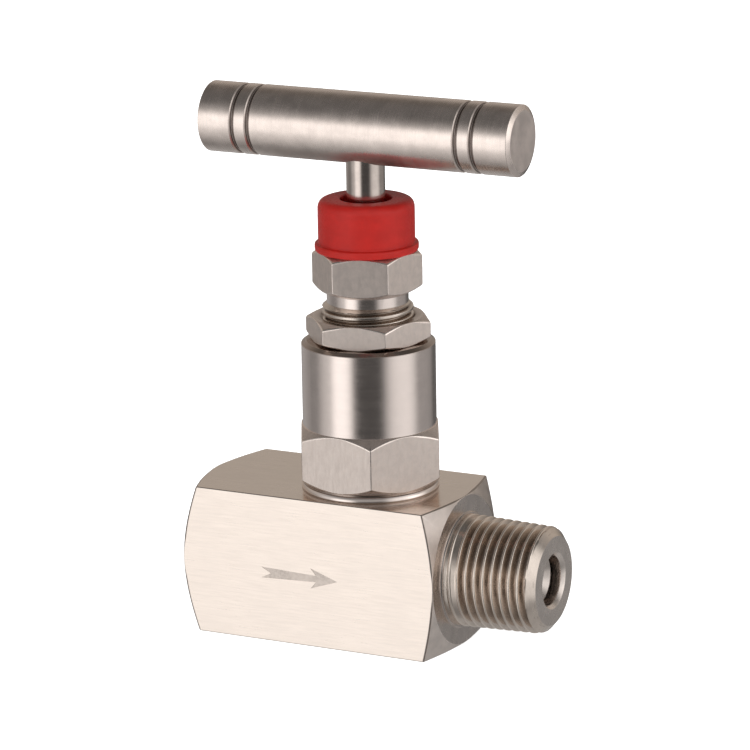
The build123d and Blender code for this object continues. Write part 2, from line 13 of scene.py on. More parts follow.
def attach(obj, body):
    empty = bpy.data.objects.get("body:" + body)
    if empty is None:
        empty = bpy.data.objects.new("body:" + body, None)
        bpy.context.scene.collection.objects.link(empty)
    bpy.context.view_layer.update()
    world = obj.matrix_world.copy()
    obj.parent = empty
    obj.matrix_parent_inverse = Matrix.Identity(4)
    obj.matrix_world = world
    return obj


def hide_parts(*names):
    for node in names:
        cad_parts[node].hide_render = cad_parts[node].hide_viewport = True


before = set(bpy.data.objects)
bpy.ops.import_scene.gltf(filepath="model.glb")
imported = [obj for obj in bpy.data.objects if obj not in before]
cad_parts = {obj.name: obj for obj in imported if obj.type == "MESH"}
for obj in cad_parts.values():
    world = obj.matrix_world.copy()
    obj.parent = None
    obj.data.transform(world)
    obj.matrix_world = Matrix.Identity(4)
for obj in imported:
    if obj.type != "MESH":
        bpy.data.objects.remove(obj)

LOG = logging.getLogger("needle_valve")
MM = 0.001
TURN = 2.0 * math.pi
TAPER = 1.0 / 32.0          # how fast a taper thread's radius changes along it
SIDE_SHARE = 0.45           # the most of a side that one rounded corner may take
LEAST_TANGENT = 0.05        # keeps the rounding of a very sharp corner short
# EDGE_SWELL also sets where a rounded corner's painted highlight and painted shade line sit
EDGE_SWELL = 5.5            # how soon along its curve a rounded corner counts as an edge
NO_SIDE = 1e-6              # a side of an outline shorter than this has no direction, in mm
SAME_POINT = 2e-7           # points nearer than this are one, in metres
SAME_AFTER_CUT = 1e-6       # the same, where tools have cut a piece
NO_LENGTH = 1e-8            # an edge shorter than this has no length, in metres
ON_FLATS = 0.98             # a point past this share of the flats' reach lies on the flats
LARGE_FACES = 60            # how much more large faces bend the shading; 50 is neutral
LEAST_LEVEL = 0.02          # keeps a direction that points straight up from dividing by nothing
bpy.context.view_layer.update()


class Axis(Enum):
    """The line that a turned piece is turned about."""

    X = "x"
    Y = "y"
    Z = "z"

    def point(self, reach: float, along: float, turn: float) -> tuple[float, float, float]:
        """Gives a point from its distance to the axis, its place along it and its angle round it.

        Args:
            reach: distance from the axis, in mm.
            along: place along the axis, in mm.
            turn: angle round the axis, in radians.

        Returns:
            The point in mm, before the piece's own centre is added.
        """
        near, far = reach * math.cos(turn), reach * math.sin(turn)
        if self is Axis.X:
            return along, near, far
        if self is Axis.Y:
            return far, along, near
        return near, far, along


class Slot(Enum):
    """The record's material slot names for the dressed pieces; seat is given them but does not use them."""

    BAR = "bar_steel"
    TURNED = "turned_steel"
    STEM = "stem_steel"
    HANDLE = "handle_steel"
    CAP = "red_pvc"


class Body(Enum):
    """The moving bodies that the dressed pieces ride on."""

    VALVE = "valve_body"
    STEM = "stem_and_handle"


# ---------------------------------------------------------------- shapes


@dataclass(frozen=True)
class Spot:
    """One point of an outline: place, how much painted shade it takes (deepest in a thread's roots), how
    near an edge it is for the painted highlight, and its finish.
    """

    r: float
    at: float
    groove: float = 0.0
    edge: float = 0.0
    finish: int = 0


@dataclass(frozen=True)
class Corner:
    """A corner of an outline, rounded where round is above zero; groove is the painted shade at the corner,
    and the last mark paints a dark shade line on the rounding alone.
    """

    r: float
    at: float
    round: float = 0.0
    finish: int = 0
    steps: int = 4
    groove: float = 0.0
    seam: float = 0.0


@dataclass(frozen=True)
class ThreadForm:
    """Half of one thread, from the middle of a crest to the middle of a root."""

    half: tuple[tuple[float, float], ...] = (
        (0.0, 1.0), (0.035, 0.992), (0.06, 0.955), (0.09, 0.885), (0.17, 0.695), (0.25, 0.5),
        (0.33, 0.305), (0.41, 0.115), (0.44, 0.045), (0.465, 0.008), (0.5, 0.0),
    )

    def height(self, share: float) -> float:
        """Gives the height of the form, 1 at the crest and 0 at the root.

        Args:
            share: distance from the middle of a crest, as a share of the pitch.

        Returns:
            The height there.
        """
        share = abs(share - round(share))
        for (a, high), (b, low) in zip(self.half, self.half[1:]):
            if share <= b:
                return high + (low - high) * (share - a) / (b - a)
        return 0.0

    def shares(self) -> list[float]:
        """Gives where the rows of one whole thread lie, as shares of the pitch from its crest."""
        rising = [share for share, _ in self.half]
        return rising + [1.0 - share for share in reversed(rising[1:-1])]


# crests rubbed round
WORN_FORM = ThreadForm((
    (0.0, 1.0), (0.065, 0.994), (0.10, 0.955), (0.135, 0.875), (0.2, 0.69), (0.265, 0.5),
    (0.335, 0.305), (0.41, 0.115), (0.44, 0.045), (0.465, 0.008), (0.5, 0.0),
))

# broad round crests over narrow roots
BROAD_FORM = ThreadForm((
    (0.0, 1.0), (0.13, 0.995), (0.19, 0.97), (0.235, 0.90), (0.275, 0.75), (0.315, 0.52),
    (0.36, 0.24), (0.40, 0.07), (0.44, 0.02), (0.47, 0.004), (0.5, 0.0),
))


Trim = Callable[[float, float], float]


def untrimmed(along: float, reach: float) -> float:
    """Leaves a thread's radius as it is."""
    return reach


@dataclass(frozen=True)
class ThreadRun:
    """A single-start right-hand thread between two planes, as rows that follow its helix.

    The phase is where a crest stands at angle 0; trim takes a row's place and radius and gives the
    radius that is left.
    """

    low: float
    high: float
    crest: float
    depth: float
    pitch: float
    phase: float
    taper: float = 0.0
    inside: bool = False
    finish: int = 0
    trim: Trim = untrimmed
    # painted shade on the faces that the trim cuts
    trim_mark: float = 0.0
    form: ThreadForm = ThreadForm()
    cut_back: float = 0.02
    edge_fall: float = 7.0

    def spots(self, turn: float) -> list[Spot]:
        """Gives the rows of the thread at one angle.

        Args:
            turn: angle round the axis, in radians.

        Returns:
            Rows from low to high, or from high to low for an inside thread.
        """
        shares = self.form.shares()
        first = math.floor((self.low - self.phase) / self.pitch) - 2
        last = math.ceil((self.high - self.phase) / self.pitch) + 1
        rows = []
        for thread in range(first, last + 1):
            for share in shares:
                free = self.phase + self.pitch * (thread + share + turn / TURN)
                at = min(max(free, self.low), self.high)
                rows.append(self.spot(at, turn))
        return list(reversed(rows)) if self.inside else rows

    def spot(self, at: float, turn: float) -> Spot:
        """Gives one row's point, cut back by the trim; a trimmed face is neither groove nor crest.

        Args:
            at: where the row lies along the axis, in mm.
            turn: angle round the axis, in radians.

        Returns:
            The point, with its painted shade, deepest in the roots, and its painted highlight on the crests.
        """
        height = self.form.height((at - self.phase) / self.pitch - turn / TURN)
        crest = self.crest + self.taper * (at - self.low)
        fall = self.depth * (1.0 - height)
        free = crest + fall if self.inside else crest - fall
        reach = self.trim(at, free)
        if abs(reach - free) > self.cut_back:
            # trimmed faces take the given painted shade
            return Spot(reach, at, self.trim_mark, 0.0, self.finish)
        # painted highlight on the crests; the groove value below is the painted shade, deepest in the roots
        edge = max(0.0, 1.0 - self.edge_fall * (1.0 - height))
        return Spot(reach, at, 1.0 - height, edge, self.finish)


Outline = Sequence[Corner | ThreadRun]
MakeOutline = Callable[[float], Outline]


@dataclass(frozen=True)
class Section:
    """The section across a turned piece: round, or with flats whose corners are rounded."""

    sides: int = 0
    half_width: float = 0.0
    corner_at: float = 0.0
    corner_round: float = 0.3
    columns: int = 160
    corner_steps: int = 6

    def rays(self) -> list[tuple[float, float, float]]:
        """Places the columns round the section.

        Returns:
            Each column's angle, reach and nearness to a corner, with the first one again at the end.
        """
        if not self.sides:
            return [(TURN * k / self.columns, 0.0, 0.0) for k in range(self.columns + 1)]
        half = math.pi / self.sides
        centre = (self.half_width - self.corner_round) / math.cos(half)
        per_side = max(4, self.columns // self.sides - self.corner_steps)
        rays = []
        for side in range(self.sides):
            corner = math.radians(self.corner_at) + 2.0 * half * side
            arc = []
            for step in range(self.corner_steps + 1):
                share = 2.0 * step / self.corner_steps - 1.0
                lean = corner + half * share
                x = centre * math.cos(corner) + self.corner_round * math.cos(lean)
                y = centre * math.sin(corner) + self.corner_round * math.sin(lean)
                off = math.atan2(y, x) - corner
                off = math.atan2(math.sin(off), math.cos(off))
                arc.append((corner + off, math.hypot(x, y), 1.0 - abs(share)))
            rays += arc
            start, end = arc[-1][0], 2.0 * half + 2.0 * corner - arc[-1][0]
            middle = corner + half
            for step in range(1, per_side):
                turn = start + (end - start) * step / per_side
                rays.append((turn, self.half_width / math.cos(turn - middle), 0.0))
        rays.append((rays[0][0] + TURN, rays[0][1], rays[0][2]))
        return rays


def rounded(outline: Outline, turn: float, closed: bool) -> list[Spot]:
    """Turns an outline into points, with each rounded corner as a short curve.

    Args:
        outline: corners and threads, in order.
        turn: the angle of this column, which the threads need.
        closed: whether the last point joins the first.

    Returns:
        The points, as many at every angle.
    """
    raw: list[tuple[Spot, Corner]] = []
    sharp = Corner(0.0, 0.0)
    for item in outline:
        if isinstance(item, ThreadRun):
            raw += [(spot, sharp) for spot in item.spots(turn)]
        else:
            raw.append((Spot(item.r, item.at, item.groove, 0.0, item.finish), item))
    made = []
    count = len(raw)
    for k, (spot, corner) in enumerate(raw):
        if corner.round <= 0.0 or (not closed and k in (0, count - 1)):
            made.append(spot)
            continue
        before, after = raw[k - 1][0], raw[(k + 1) % count][0]
        made += corner_curve(before, spot, after, corner)
    return made


def corner_curve(before: Spot, spot: Spot, after: Spot, corner: Corner) -> list[Spot]:
    """Gives the short curve that rounds one corner.

    Args:
        before: the point before the corner.
        spot: the corner.
        after: the point after it.
        corner: how it is rounded.

    Returns:
        The curve's points.
    """
    back = Vector((before.r - spot.r, before.at - spot.at))
    on = Vector((after.r - spot.r, after.at - spot.at))
    if back.length < NO_SIDE or on.length < NO_SIDE:
        return [spot] * (corner.steps + 1)
    opening = back.angle(on)
    reach = corner.round / max(LEAST_TANGENT, math.tan(opening / 2.0))
    reach = min(reach, SIDE_SHARE * back.length, SIDE_SHARE * on.length)
    here = Vector((spot.r, spot.at))
    start, end = here + back.normalized() * reach, here + on.normalized() * reach
    curve = []
    for step in range(corner.steps + 1):
        t = step / corner.steps
        p = start * (1 - t) ** 2 + here * 2 * t * (1 - t) + end * t * t
        # the middle of the rounding takes the painted edge highlight, and the corner's edge-line value as
        # painted shade
        middle = min(1.0, EDGE_SWELL * t * (1 - t))
        curve.append(Spot(p.x, p.y, max(spot.groove, middle * corner.seam), middle, spot.finish))
    return curve


def mesh_object(name: str, mesh: bpy.types.Mesh) -> bpy.types.Object:
    """Puts a mesh in the scene.

    Args:
        name: the object's name.
        mesh: its mesh.

    Returns:
        The object, at the origin.
    """
    made = bpy.data.objects.new(name, mesh)
    bpy.context.scene.collection.objects.link(made)
    return made


def turned(
    name: str,
    axis: Axis,
    section: Section,
    outline: MakeOutline,
    centre: tuple[float, float, float] = (0.0, 0.0, 0.0),
    closed: bool = False,
) -> bpy.types.Object:
    """Builds a closed mesh by carrying an outline round an axis.

    Args:
        name: the object's name.
        axis: the axis that it is turned about.
        section: where the columns stand and how far the flats reach.
        outline: gives the outline for a reach of the flats.
        centre: a point that the axis passes, in mm.
        closed: whether the outline joins its own start, as a ring's does.

    Returns:
        The object.
    """
    rays = section.rays()
    columns = [rounded(outline(reach), turn, closed) for turn, reach, _ in rays]
    rows = len(columns[0])
    points, grooves, edges = [], [], []
    for (turn, reach, corner), column in zip(rays, columns):
        for spot in column:
            x, y, z = axis.point(spot.r, spot.at, turn)
            points.append(((x + centre[0]) * MM, (y + centre[1]) * MM, (z + centre[2]) * MM))
            grooves.append(spot.groove)
            # corner columns of a flatted section take the painted edge highlight too
            edges.append(max(spot.edge, corner if spot.r > ON_FLATS * reach else 0.0))
    faces, finishes = [], []
    last = rows if closed else rows - 1
    for column in range(len(rays) - 1):
        here, there = column * rows, (column + 1) * rows
        for row in range(last):
            above = (row + 1) % rows
            faces.append((here + row, there + row, there + above, here + above))
            finishes.append(columns[column][row].finish)
    mesh = bpy.data.meshes.new(name)
    mesh.from_pydata(points, [], faces)
    mesh.polygons.foreach_set("material_index", finishes)
    for label, values in (("groove", grooves), ("edge", edges)):
        mesh.attributes.new(label, "FLOAT", "POINT").data.foreach_set("value", values)
    clean(mesh)
    return mesh_object(name, mesh)


def drill(name: str, axis: Axis, columns: int, outline: Sequence[tuple[float, float]],
          height: float = 0.0, finish: int = 0) -> bpy.types.Object:
    """Builds the shape of a round hole.

    Args:
        name: the tool's name.
        axis: the axis of the hole.
        columns: how many sides stand for its roundness.
        outline: radius and place of its corners, in mm, from one end to the other.
        height: Z of its axis, where the axis is level.
        finish: the number of the finish that the hole's wall takes.

    Returns:
        The tool that cuts it.
    """
    corners = [Corner(r, at, finish=finish) for r, at in outline]
    return turned(name, axis, Section(columns=columns), lambda reach: corners, (0.0, 0.0, height))


def clean(mesh: bpy.types.Mesh, near: float = SAME_POINT) -> None:
    """Joins the points that lie on each other and drops the faces that have no area.

    Args:
        mesh: the mesh that is cleaned.
        near: how near two points lie to be joined, in metres.
    """
    work = bmesh.new()
    work.from_mesh(mesh)
    bmesh.ops.remove_doubles(work, verts=work.verts, dist=near)
    bmesh.ops.dissolve_degenerate(work, edges=work.edges, dist=NO_LENGTH)
    if work.calc_volume(signed=True) < 0.0:
        bmesh.ops.reverse_faces(work, faces=work.faces)
    work.to_mesh(mesh)
    work.free()
    mesh.update()


def prism(name: str, corners: Sequence[tuple[float, float]], front: float, back: float,
          finish: int) -> bpy.types.Object:
    """Builds a straight-sided block whose outline is drawn in X and Z.

    Args:
        name: the object's name.
        corners: the outline's X and Z, in mm, against the clock as seen from the front.
        front: Y of its front face, in mm.
        back: Y of its back face, in mm.
        finish: the number of its finish.

    Returns:
        The object.
    """
    count = len(corners)
    points = [(x * MM, y * MM, z * MM) for y in (front, back) for x, z in corners]
    faces = [tuple(range(count)), tuple(range(2 * count - 1, count - 1, -1))]
    for k in range(count):
        n = (k + 1) % count
        faces.append((k, count + k, count + n, n))
    mesh = bpy.data.meshes.new(name)
    mesh.from_pydata(points, [], faces)
    mesh.polygons.foreach_set("material_index", [finish] * len(faces))
    clean(mesh)
    return mesh_object(name, mesh)


def cut(target: bpy.types.Object, tools: Sequence[bpy.types.Object]) -> None:
    """Cuts each tool's shape out of a piece and removes the tools.

    Args:
        target: the piece that is cut.
        tools: closed meshes, cut away in turn.
    """
    for tool in tools:
        for material in target.data.materials:
            tool.data.materials.append(material)
        step = target.modifiers.new("cut", "BOOLEAN")
        step.operation = "DIFFERENCE"
        step.solver = "EXACT"
        step.material_mode = "INDEX"
        step.object = tool
        graph = bpy.context.evaluated_depsgraph_get()
        mesh = bpy.data.meshes.new_from_object(target.evaluated_get(graph))
        target.modifiers.clear()
        old, target.data = target.data, mesh
        mesh.name = target.name
        bpy.data.meshes.remove(old)
        shape = tool.data
        bpy.data.objects.remove(tool)
        bpy.data.meshes.remove(shape)
    clean(target.data, SAME_AFTER_CUT)


def smooth(piece: bpy.types.Object, sharp: float = 39.0) -> None:
    """Shades a piece smooth, with crisp edges above an angle and flats that stay flat.

    Args:
        piece: the piece.
        sharp: the angle in degrees above which an edge stays crisp.
    """
    mesh = piece.data
    mesh.polygons.foreach_set("use_smooth", [True] * len(mesh.polygons))
    mesh.set_sharp_from_angle(angle=math.radians(sharp))
    step = piece.modifiers.new("flat_faces_first", "WEIGHTED_NORMAL")
    step.mode = "FACE_AREA"
    step.keep_sharp = True
    step.weight = LARGE_FACES


# ---------------------------------------------------------------- finishes


class NodeGraph:
    """A node graph while it is being laid out."""

    def __init__(self, tree: bpy.types.NodeTree) -> None:
        """Starts with an empty graph.

        Args:
            tree: the tree that is emptied and laid out again.
        """
        self.tree = tree
        self.tree.nodes.clear()

    def node(self, kind: str, **values: object) -> bpy.types.Node:
        """Adds a node and sets its properties and sockets.

        Args:
            kind: Blender's name for the node.
            values: sockets by name, with spaces as underscores, or the node's own properties.

        Returns:
            The node.
        """
        made = self.tree.nodes.new(kind)
        for key, value in values.items():
            socket = made.inputs.get(key.replace("_", " "))
            if socket is None:
                setattr(made, key, value)
            elif isinstance(value, bpy.types.NodeSocket):
                self.tree.links.new(value, socket)
            else:
                socket.default_value = value
        return made

    def ramp(self, value: bpy.types.NodeSocket, low: float, high: float, least: float,
             most: float) -> bpy.types.NodeSocket:
        """Carries a value smoothly from one range onto another, clamped.

        Args:
            value: what is carried over.
            low: the value that gives least.
            high: the value that gives most.
            least: result at low.
            most: result at high.

        Returns:
            The result.
        """
        made = self.node("ShaderNodeMapRange", interpolation_type="SMOOTHSTEP", Value=value)
        for key, number in (("From Min", low), ("From Max", high), ("To Min", least), ("To Max", most)):
            made.inputs[key].default_value = number
        return made.outputs["Result"]

    def sum(self, kind: str, first: object, second: object) -> bpy.types.NodeSocket:
        """Joins two values, or a value and a number, by one sum.

        Args:
            kind: Blender's name for the sum, such as ADD or MULTIPLY.
            first: a value or a number.
            second: a value or a number.

        Returns:
            The result.
        """
        made = self.node("ShaderNodeMath", operation=kind)
        for socket, given in zip(made.inputs, (first, second)):
            if isinstance(given, bpy.types.NodeSocket):
                self.tree.links.new(given, socket)
            else:
                socket.default_value = given
        return made.outputs["Value"]


class Bench(NodeGraph):
    """A material's node graph."""

    def __init__(self, name: str) -> None:
        """Starts an empty graph with its coordinates.

        Args:
            name: the material's name.
        """
        self.material = bpy.data.materials.new(name)
        self.material.use_nodes = True
        super().__init__(self.material.node_tree)
        self.place = self.node("ShaderNodeTexCoord").outputs["Object"]

    def noise(self, size: tuple[float, float, float], detail: float = 3.0,
              rough: float = 0.55) -> bpy.types.NodeSocket:
        """Gives noise whose grains have a size of their own along each axis.

        Args:
            size: length of a grain along X, Y and Z, in mm.
            detail: how many finer layers lie on it.
            rough: how strong the finer layers are.

        Returns:
            The noise's value.
        """
        scale = tuple(1.0 / (MM * part) for part in size)
        spread = self.node("ShaderNodeMapping", Vector=self.place, Scale=scale)
        return self.node("ShaderNodeTexNoise", Vector=spread.outputs["Vector"], Scale=1.0,
                         Detail=detail, Roughness=rough).outputs["Fac"]

    def mix(self, share: bpy.types.NodeSocket, first: object, second: object) -> bpy.types.NodeSocket:
        """Mixes two colours by a varying share.

        Args:
            share: how much of the second.
            first: a colour or a colour's socket.
            second: a colour or a colour's socket.

        Returns:
            The mixed colour.
        """
        made = self.node("ShaderNodeMix", data_type="RGBA")
        self.tree.links.new(share, made.inputs[0])
        for socket, given in ((made.inputs[6], first), (made.inputs[7], second)):
            if isinstance(given, bpy.types.NodeSocket):
                self.tree.links.new(given, socket)
            else:
                socket.default_value = (*given, 1.0)
        return made.outputs[2]

    def mark(self, name: str) -> bpy.types.NodeSocket:
        """Reads a value that the mesh carries at its points."""
        return self.node("ShaderNodeAttribute", attribute_name=name).outputs["Fac"]

    def bumped(self, heights: Sequence[tuple[bpy.types.NodeSocket, float]]) -> bpy.types.NodeSocket:
        """Stacks bumps on each other.

        Args:
            heights: each height from 0 to 1, with its depth in mm.

        Returns:
            The bent normal.
        """
        normal = None
        for height, depth in heights:
            step = self.node("ShaderNodeBump", Height=height, Distance=depth * MM, Strength=1.0)
            if normal is not None:
                self.tree.links.new(normal, step.inputs["Normal"])
            normal = step.outputs["Normal"]
        return normal

    def finish(self, **values: object) -> bpy.types.Material:
        """Adds the surface shader and its output.

        Args:
            values: the shader's sockets by name, with spaces as underscores.

        Returns:
            The material.
        """
        shader = self.node("ShaderNodeBsdfPrincipled", **values)
        self.node("ShaderNodeOutputMaterial", Surface=shader.outputs["BSDF"])
        return self.material


@dataclass(frozen=True)
class DullShadedPatch:
    """A patch low on the handle bar, round the stem: rougher, and darker as painted shade that dims the
    cap's reflection there.
    """

    full: float = 14.0
    reach: float = 24.0
    low: float = 96.9
    high: float = 98.9
    rough: float = 0.25
    dark: float = 0.62

    def share(self, bench: Bench) -> bpy.types.NodeSocket:
        """Gives how far a point lies in the patch.

        Args:
            bench: the graph that it is laid out in.

        Returns:
            1 in the patch, 0 outside it, with soft edges along the bar and up its side.
        """
        split = bench.node("ShaderNodeSeparateXYZ", Vector=bench.place).outputs
        along = bench.sum("ABSOLUTE", split["X"], 0.0)
        near = bench.ramp(along, self.full * MM, self.reach * MM, 1.0, 0.0)
        return bench.sum("MULTIPLY", near, bench.ramp(split["Z"], self.low * MM, self.high * MM, 1.0, 0.0))


@dataclass(frozen=True)
class Steel:
    """Stainless steel with tool grain and cloudy patches, painted shade in grooves and hollows and painted
    highlights on edges and crests.

    Lengths are in mm. A band is the stretch of a noise or a mark over which a look changes: tone is
    for the colour, gloss for the roughness.
    """

    name: str
    tint: tuple[float, float, float] = (0.80, 0.715, 0.66)
    rough: float = 0.26
    spread: float = 0.08
    grain: tuple[float, float, float] = (6.0, 6.0, 0.25)
    grain_depth: float = 0.004
    cloud: tuple[float, float, float] = (3.5, 3.5, 3.5)
    cloud_depth: float = 0.0
    patch: float = 0.10
    # the groove tint and share paint shade into grooves, thread roots and hollows
    groove_shade_tint: tuple[float, float, float] = (0.22, 0.165, 0.13)
    groove_shade_share: float = 0.0
    groove_rough: float = 0.0
    # edge_share paints a highlight on edges and crests, towards a brighter tint
    edge_share: float = 0.5
    edge_rough: float = 0.0
    dull_shaded: DullShadedPatch | None = None
    fine: tuple[float, float, float] = (0.22, 0.22, 0.22)
    fine_share: float = 0.25
    dark_share: float = 2.2
    deep: float = 0.5
    streak_share: float = 0.75
    brightest: float = 1.25
    cloud_tone_band: tuple[float, float] = (0.32, 0.68)
    streak_band: tuple[float, float] = (0.36, 0.6)
    groove_tone_band: tuple[float, float] = (0.12, 0.85)
    edge_ramp_band: tuple[float, float] = (0.2, 1.0)
    grain_gloss_band: tuple[float, float] = (0.3, 0.7)
    cloud_gloss_band: tuple[float, float] = (0.35, 0.7)
    cloud_gloss: tuple[float, float] = (-0.35, 0.45)
    groove_gloss_band: tuple[float, float] = (0.05, 0.5)

    def material(self) -> bpy.types.Material:
        """Lays out the material's nodes.

        Returns:
            The material.
        """
        bench = Bench(self.name)
        grain = bench.noise(self.grain, detail=3.0, rough=0.6)
        cloud = bench.noise(self.cloud, detail=4.0, rough=0.62)
        fine = bench.noise(self.fine, detail=1.0, rough=0.5)
        dark = tuple(part * (1.0 - self.dark_share * self.patch) for part in self.tint)
        deep = tuple(part * self.deep for part in self.tint)
        light = tuple(min(1.0, part * (1.0 + self.patch)) for part in self.tint)
        colour = bench.mix(bench.ramp(cloud, *self.cloud_tone_band, 0.0, 1.0), dark, light)
        streak = bench.ramp(grain, *self.streak_band, self.streak_share * self.patch, 0.0)
        colour = bench.mix(streak, colour, deep)
        # painted shade: the groove mark darkens thread roots, grooves, hollows and marked lines towards the
        # groove tint
        if self.groove_shade_share > 0.0:
            painted_groove_shade = bench.ramp(bench.mark("groove"), *self.groove_tone_band, 0.0, self.groove_shade_share)
            colour = bench.mix(painted_groove_shade, colour, self.groove_shade_tint)
        # painted highlight: the edge mark brightens edges, corners and thread crests
        painted_edge_highlight = bench.ramp(bench.mark("edge"), *self.edge_ramp_band, 0.0, self.edge_share)
        brighter = min(self.brightest, 1.0 / max(self.tint))
        colour = bench.mix(painted_edge_highlight, colour, tuple(part * brighter for part in self.tint))
        rough = bench.ramp(grain, *self.grain_gloss_band, self.rough - self.spread, self.rough + self.spread)
        least, most = (share * self.spread for share in self.cloud_gloss)
        rough = bench.sum("ADD", rough, bench.ramp(cloud, *self.cloud_gloss_band, least, most))
        if self.groove_rough:
            torn = bench.ramp(bench.mark("groove"), *self.groove_gloss_band, 0.0, self.groove_rough)
            rough = bench.sum("ADD", rough, torn)
        if self.edge_rough:
            rubbed = bench.ramp(bench.mark("edge"), *self.edge_ramp_band, 0.0, self.edge_rough)
            rough = bench.sum("ADD", rough, rubbed)
        # painted shade, with added roughness, on the patch round the stem under the handle bar
        if self.dull_shaded:
            rough_shaded_patch = self.dull_shaded.share(bench)
            colour = bench.mix(bench.sum("MULTIPLY", rough_shaded_patch, self.dull_shaded.dark), colour, deep)
            rough = bench.sum("ADD", rough, bench.sum("MULTIPLY", rough_shaded_patch, self.dull_shaded.rough))
        heights = [(grain, self.grain_depth), (fine, self.fine_share * self.grain_depth)]
        if self.cloud_depth > 0.0:
            heights.append((cloud, self.cloud_depth))
        return bench.finish(Base_Color=colour, Metallic=1.0, Roughness=rough,
                            Normal=bench.bumped(heights))


@dataclass(frozen=True)
class SoftPlastic:
    """Soft moulded plastic with a faintly mottled skin; lengths are in mm."""

    name: str
    colour: tuple[float, float, float]
    shade: tuple[float, float, float]
    rough: float = 0.42
    smoother: float = 0.06
    rougher: float = 0.07
    skin: float = 0.012
    gloss: float = 0.42
    refraction: float = 1.46
    mottle: tuple[float, float, float] = (3.2, 3.2, 2.2)
    mottle_band: tuple[float, float] = (0.3, 0.72)
    pores: tuple[float, float, float] = (0.45, 0.45, 0.45)
    pore_band: tuple[float, float] = (0.3, 0.7)
    edge_band: tuple[float, float] = (0.3, 1.0)
    edge_share: float = 0.12
    edge_gain: float = 1.15
    edge_lift: float = 0.02

    def material(self) -> bpy.types.Material:
        """Lays out the material's nodes.

        Returns:
            The material.
        """
        bench = Bench(self.name)
        cloud = bench.noise(self.mottle, detail=4.0, rough=0.6)
        skin = bench.noise(self.pores, detail=2.0, rough=0.5)
        mottled = bench.ramp(cloud, *self.mottle_band, 0.0, 1.0)
        colour = bench.mix(mottled, self.shade, self.colour)
        pale = tuple(min(1.0, part * self.edge_gain + self.edge_lift) for part in self.colour)
        rubbed = bench.ramp(bench.mark("edge"), *self.edge_band, 0.0, self.edge_share)
        colour = bench.mix(rubbed, colour, pale)
        rough = bench.ramp(skin, *self.pore_band, self.rough - self.smoother, self.rough + self.rougher)
        normal = bench.bumped([(skin, self.skin), (cloud, 2.0 * self.skin)])
        return bench.finish(Base_Color=colour, Metallic=0.0, Roughness=rough, IOR=self.refraction,
                            Specular_IOR_Level=self.gloss, Normal=normal)


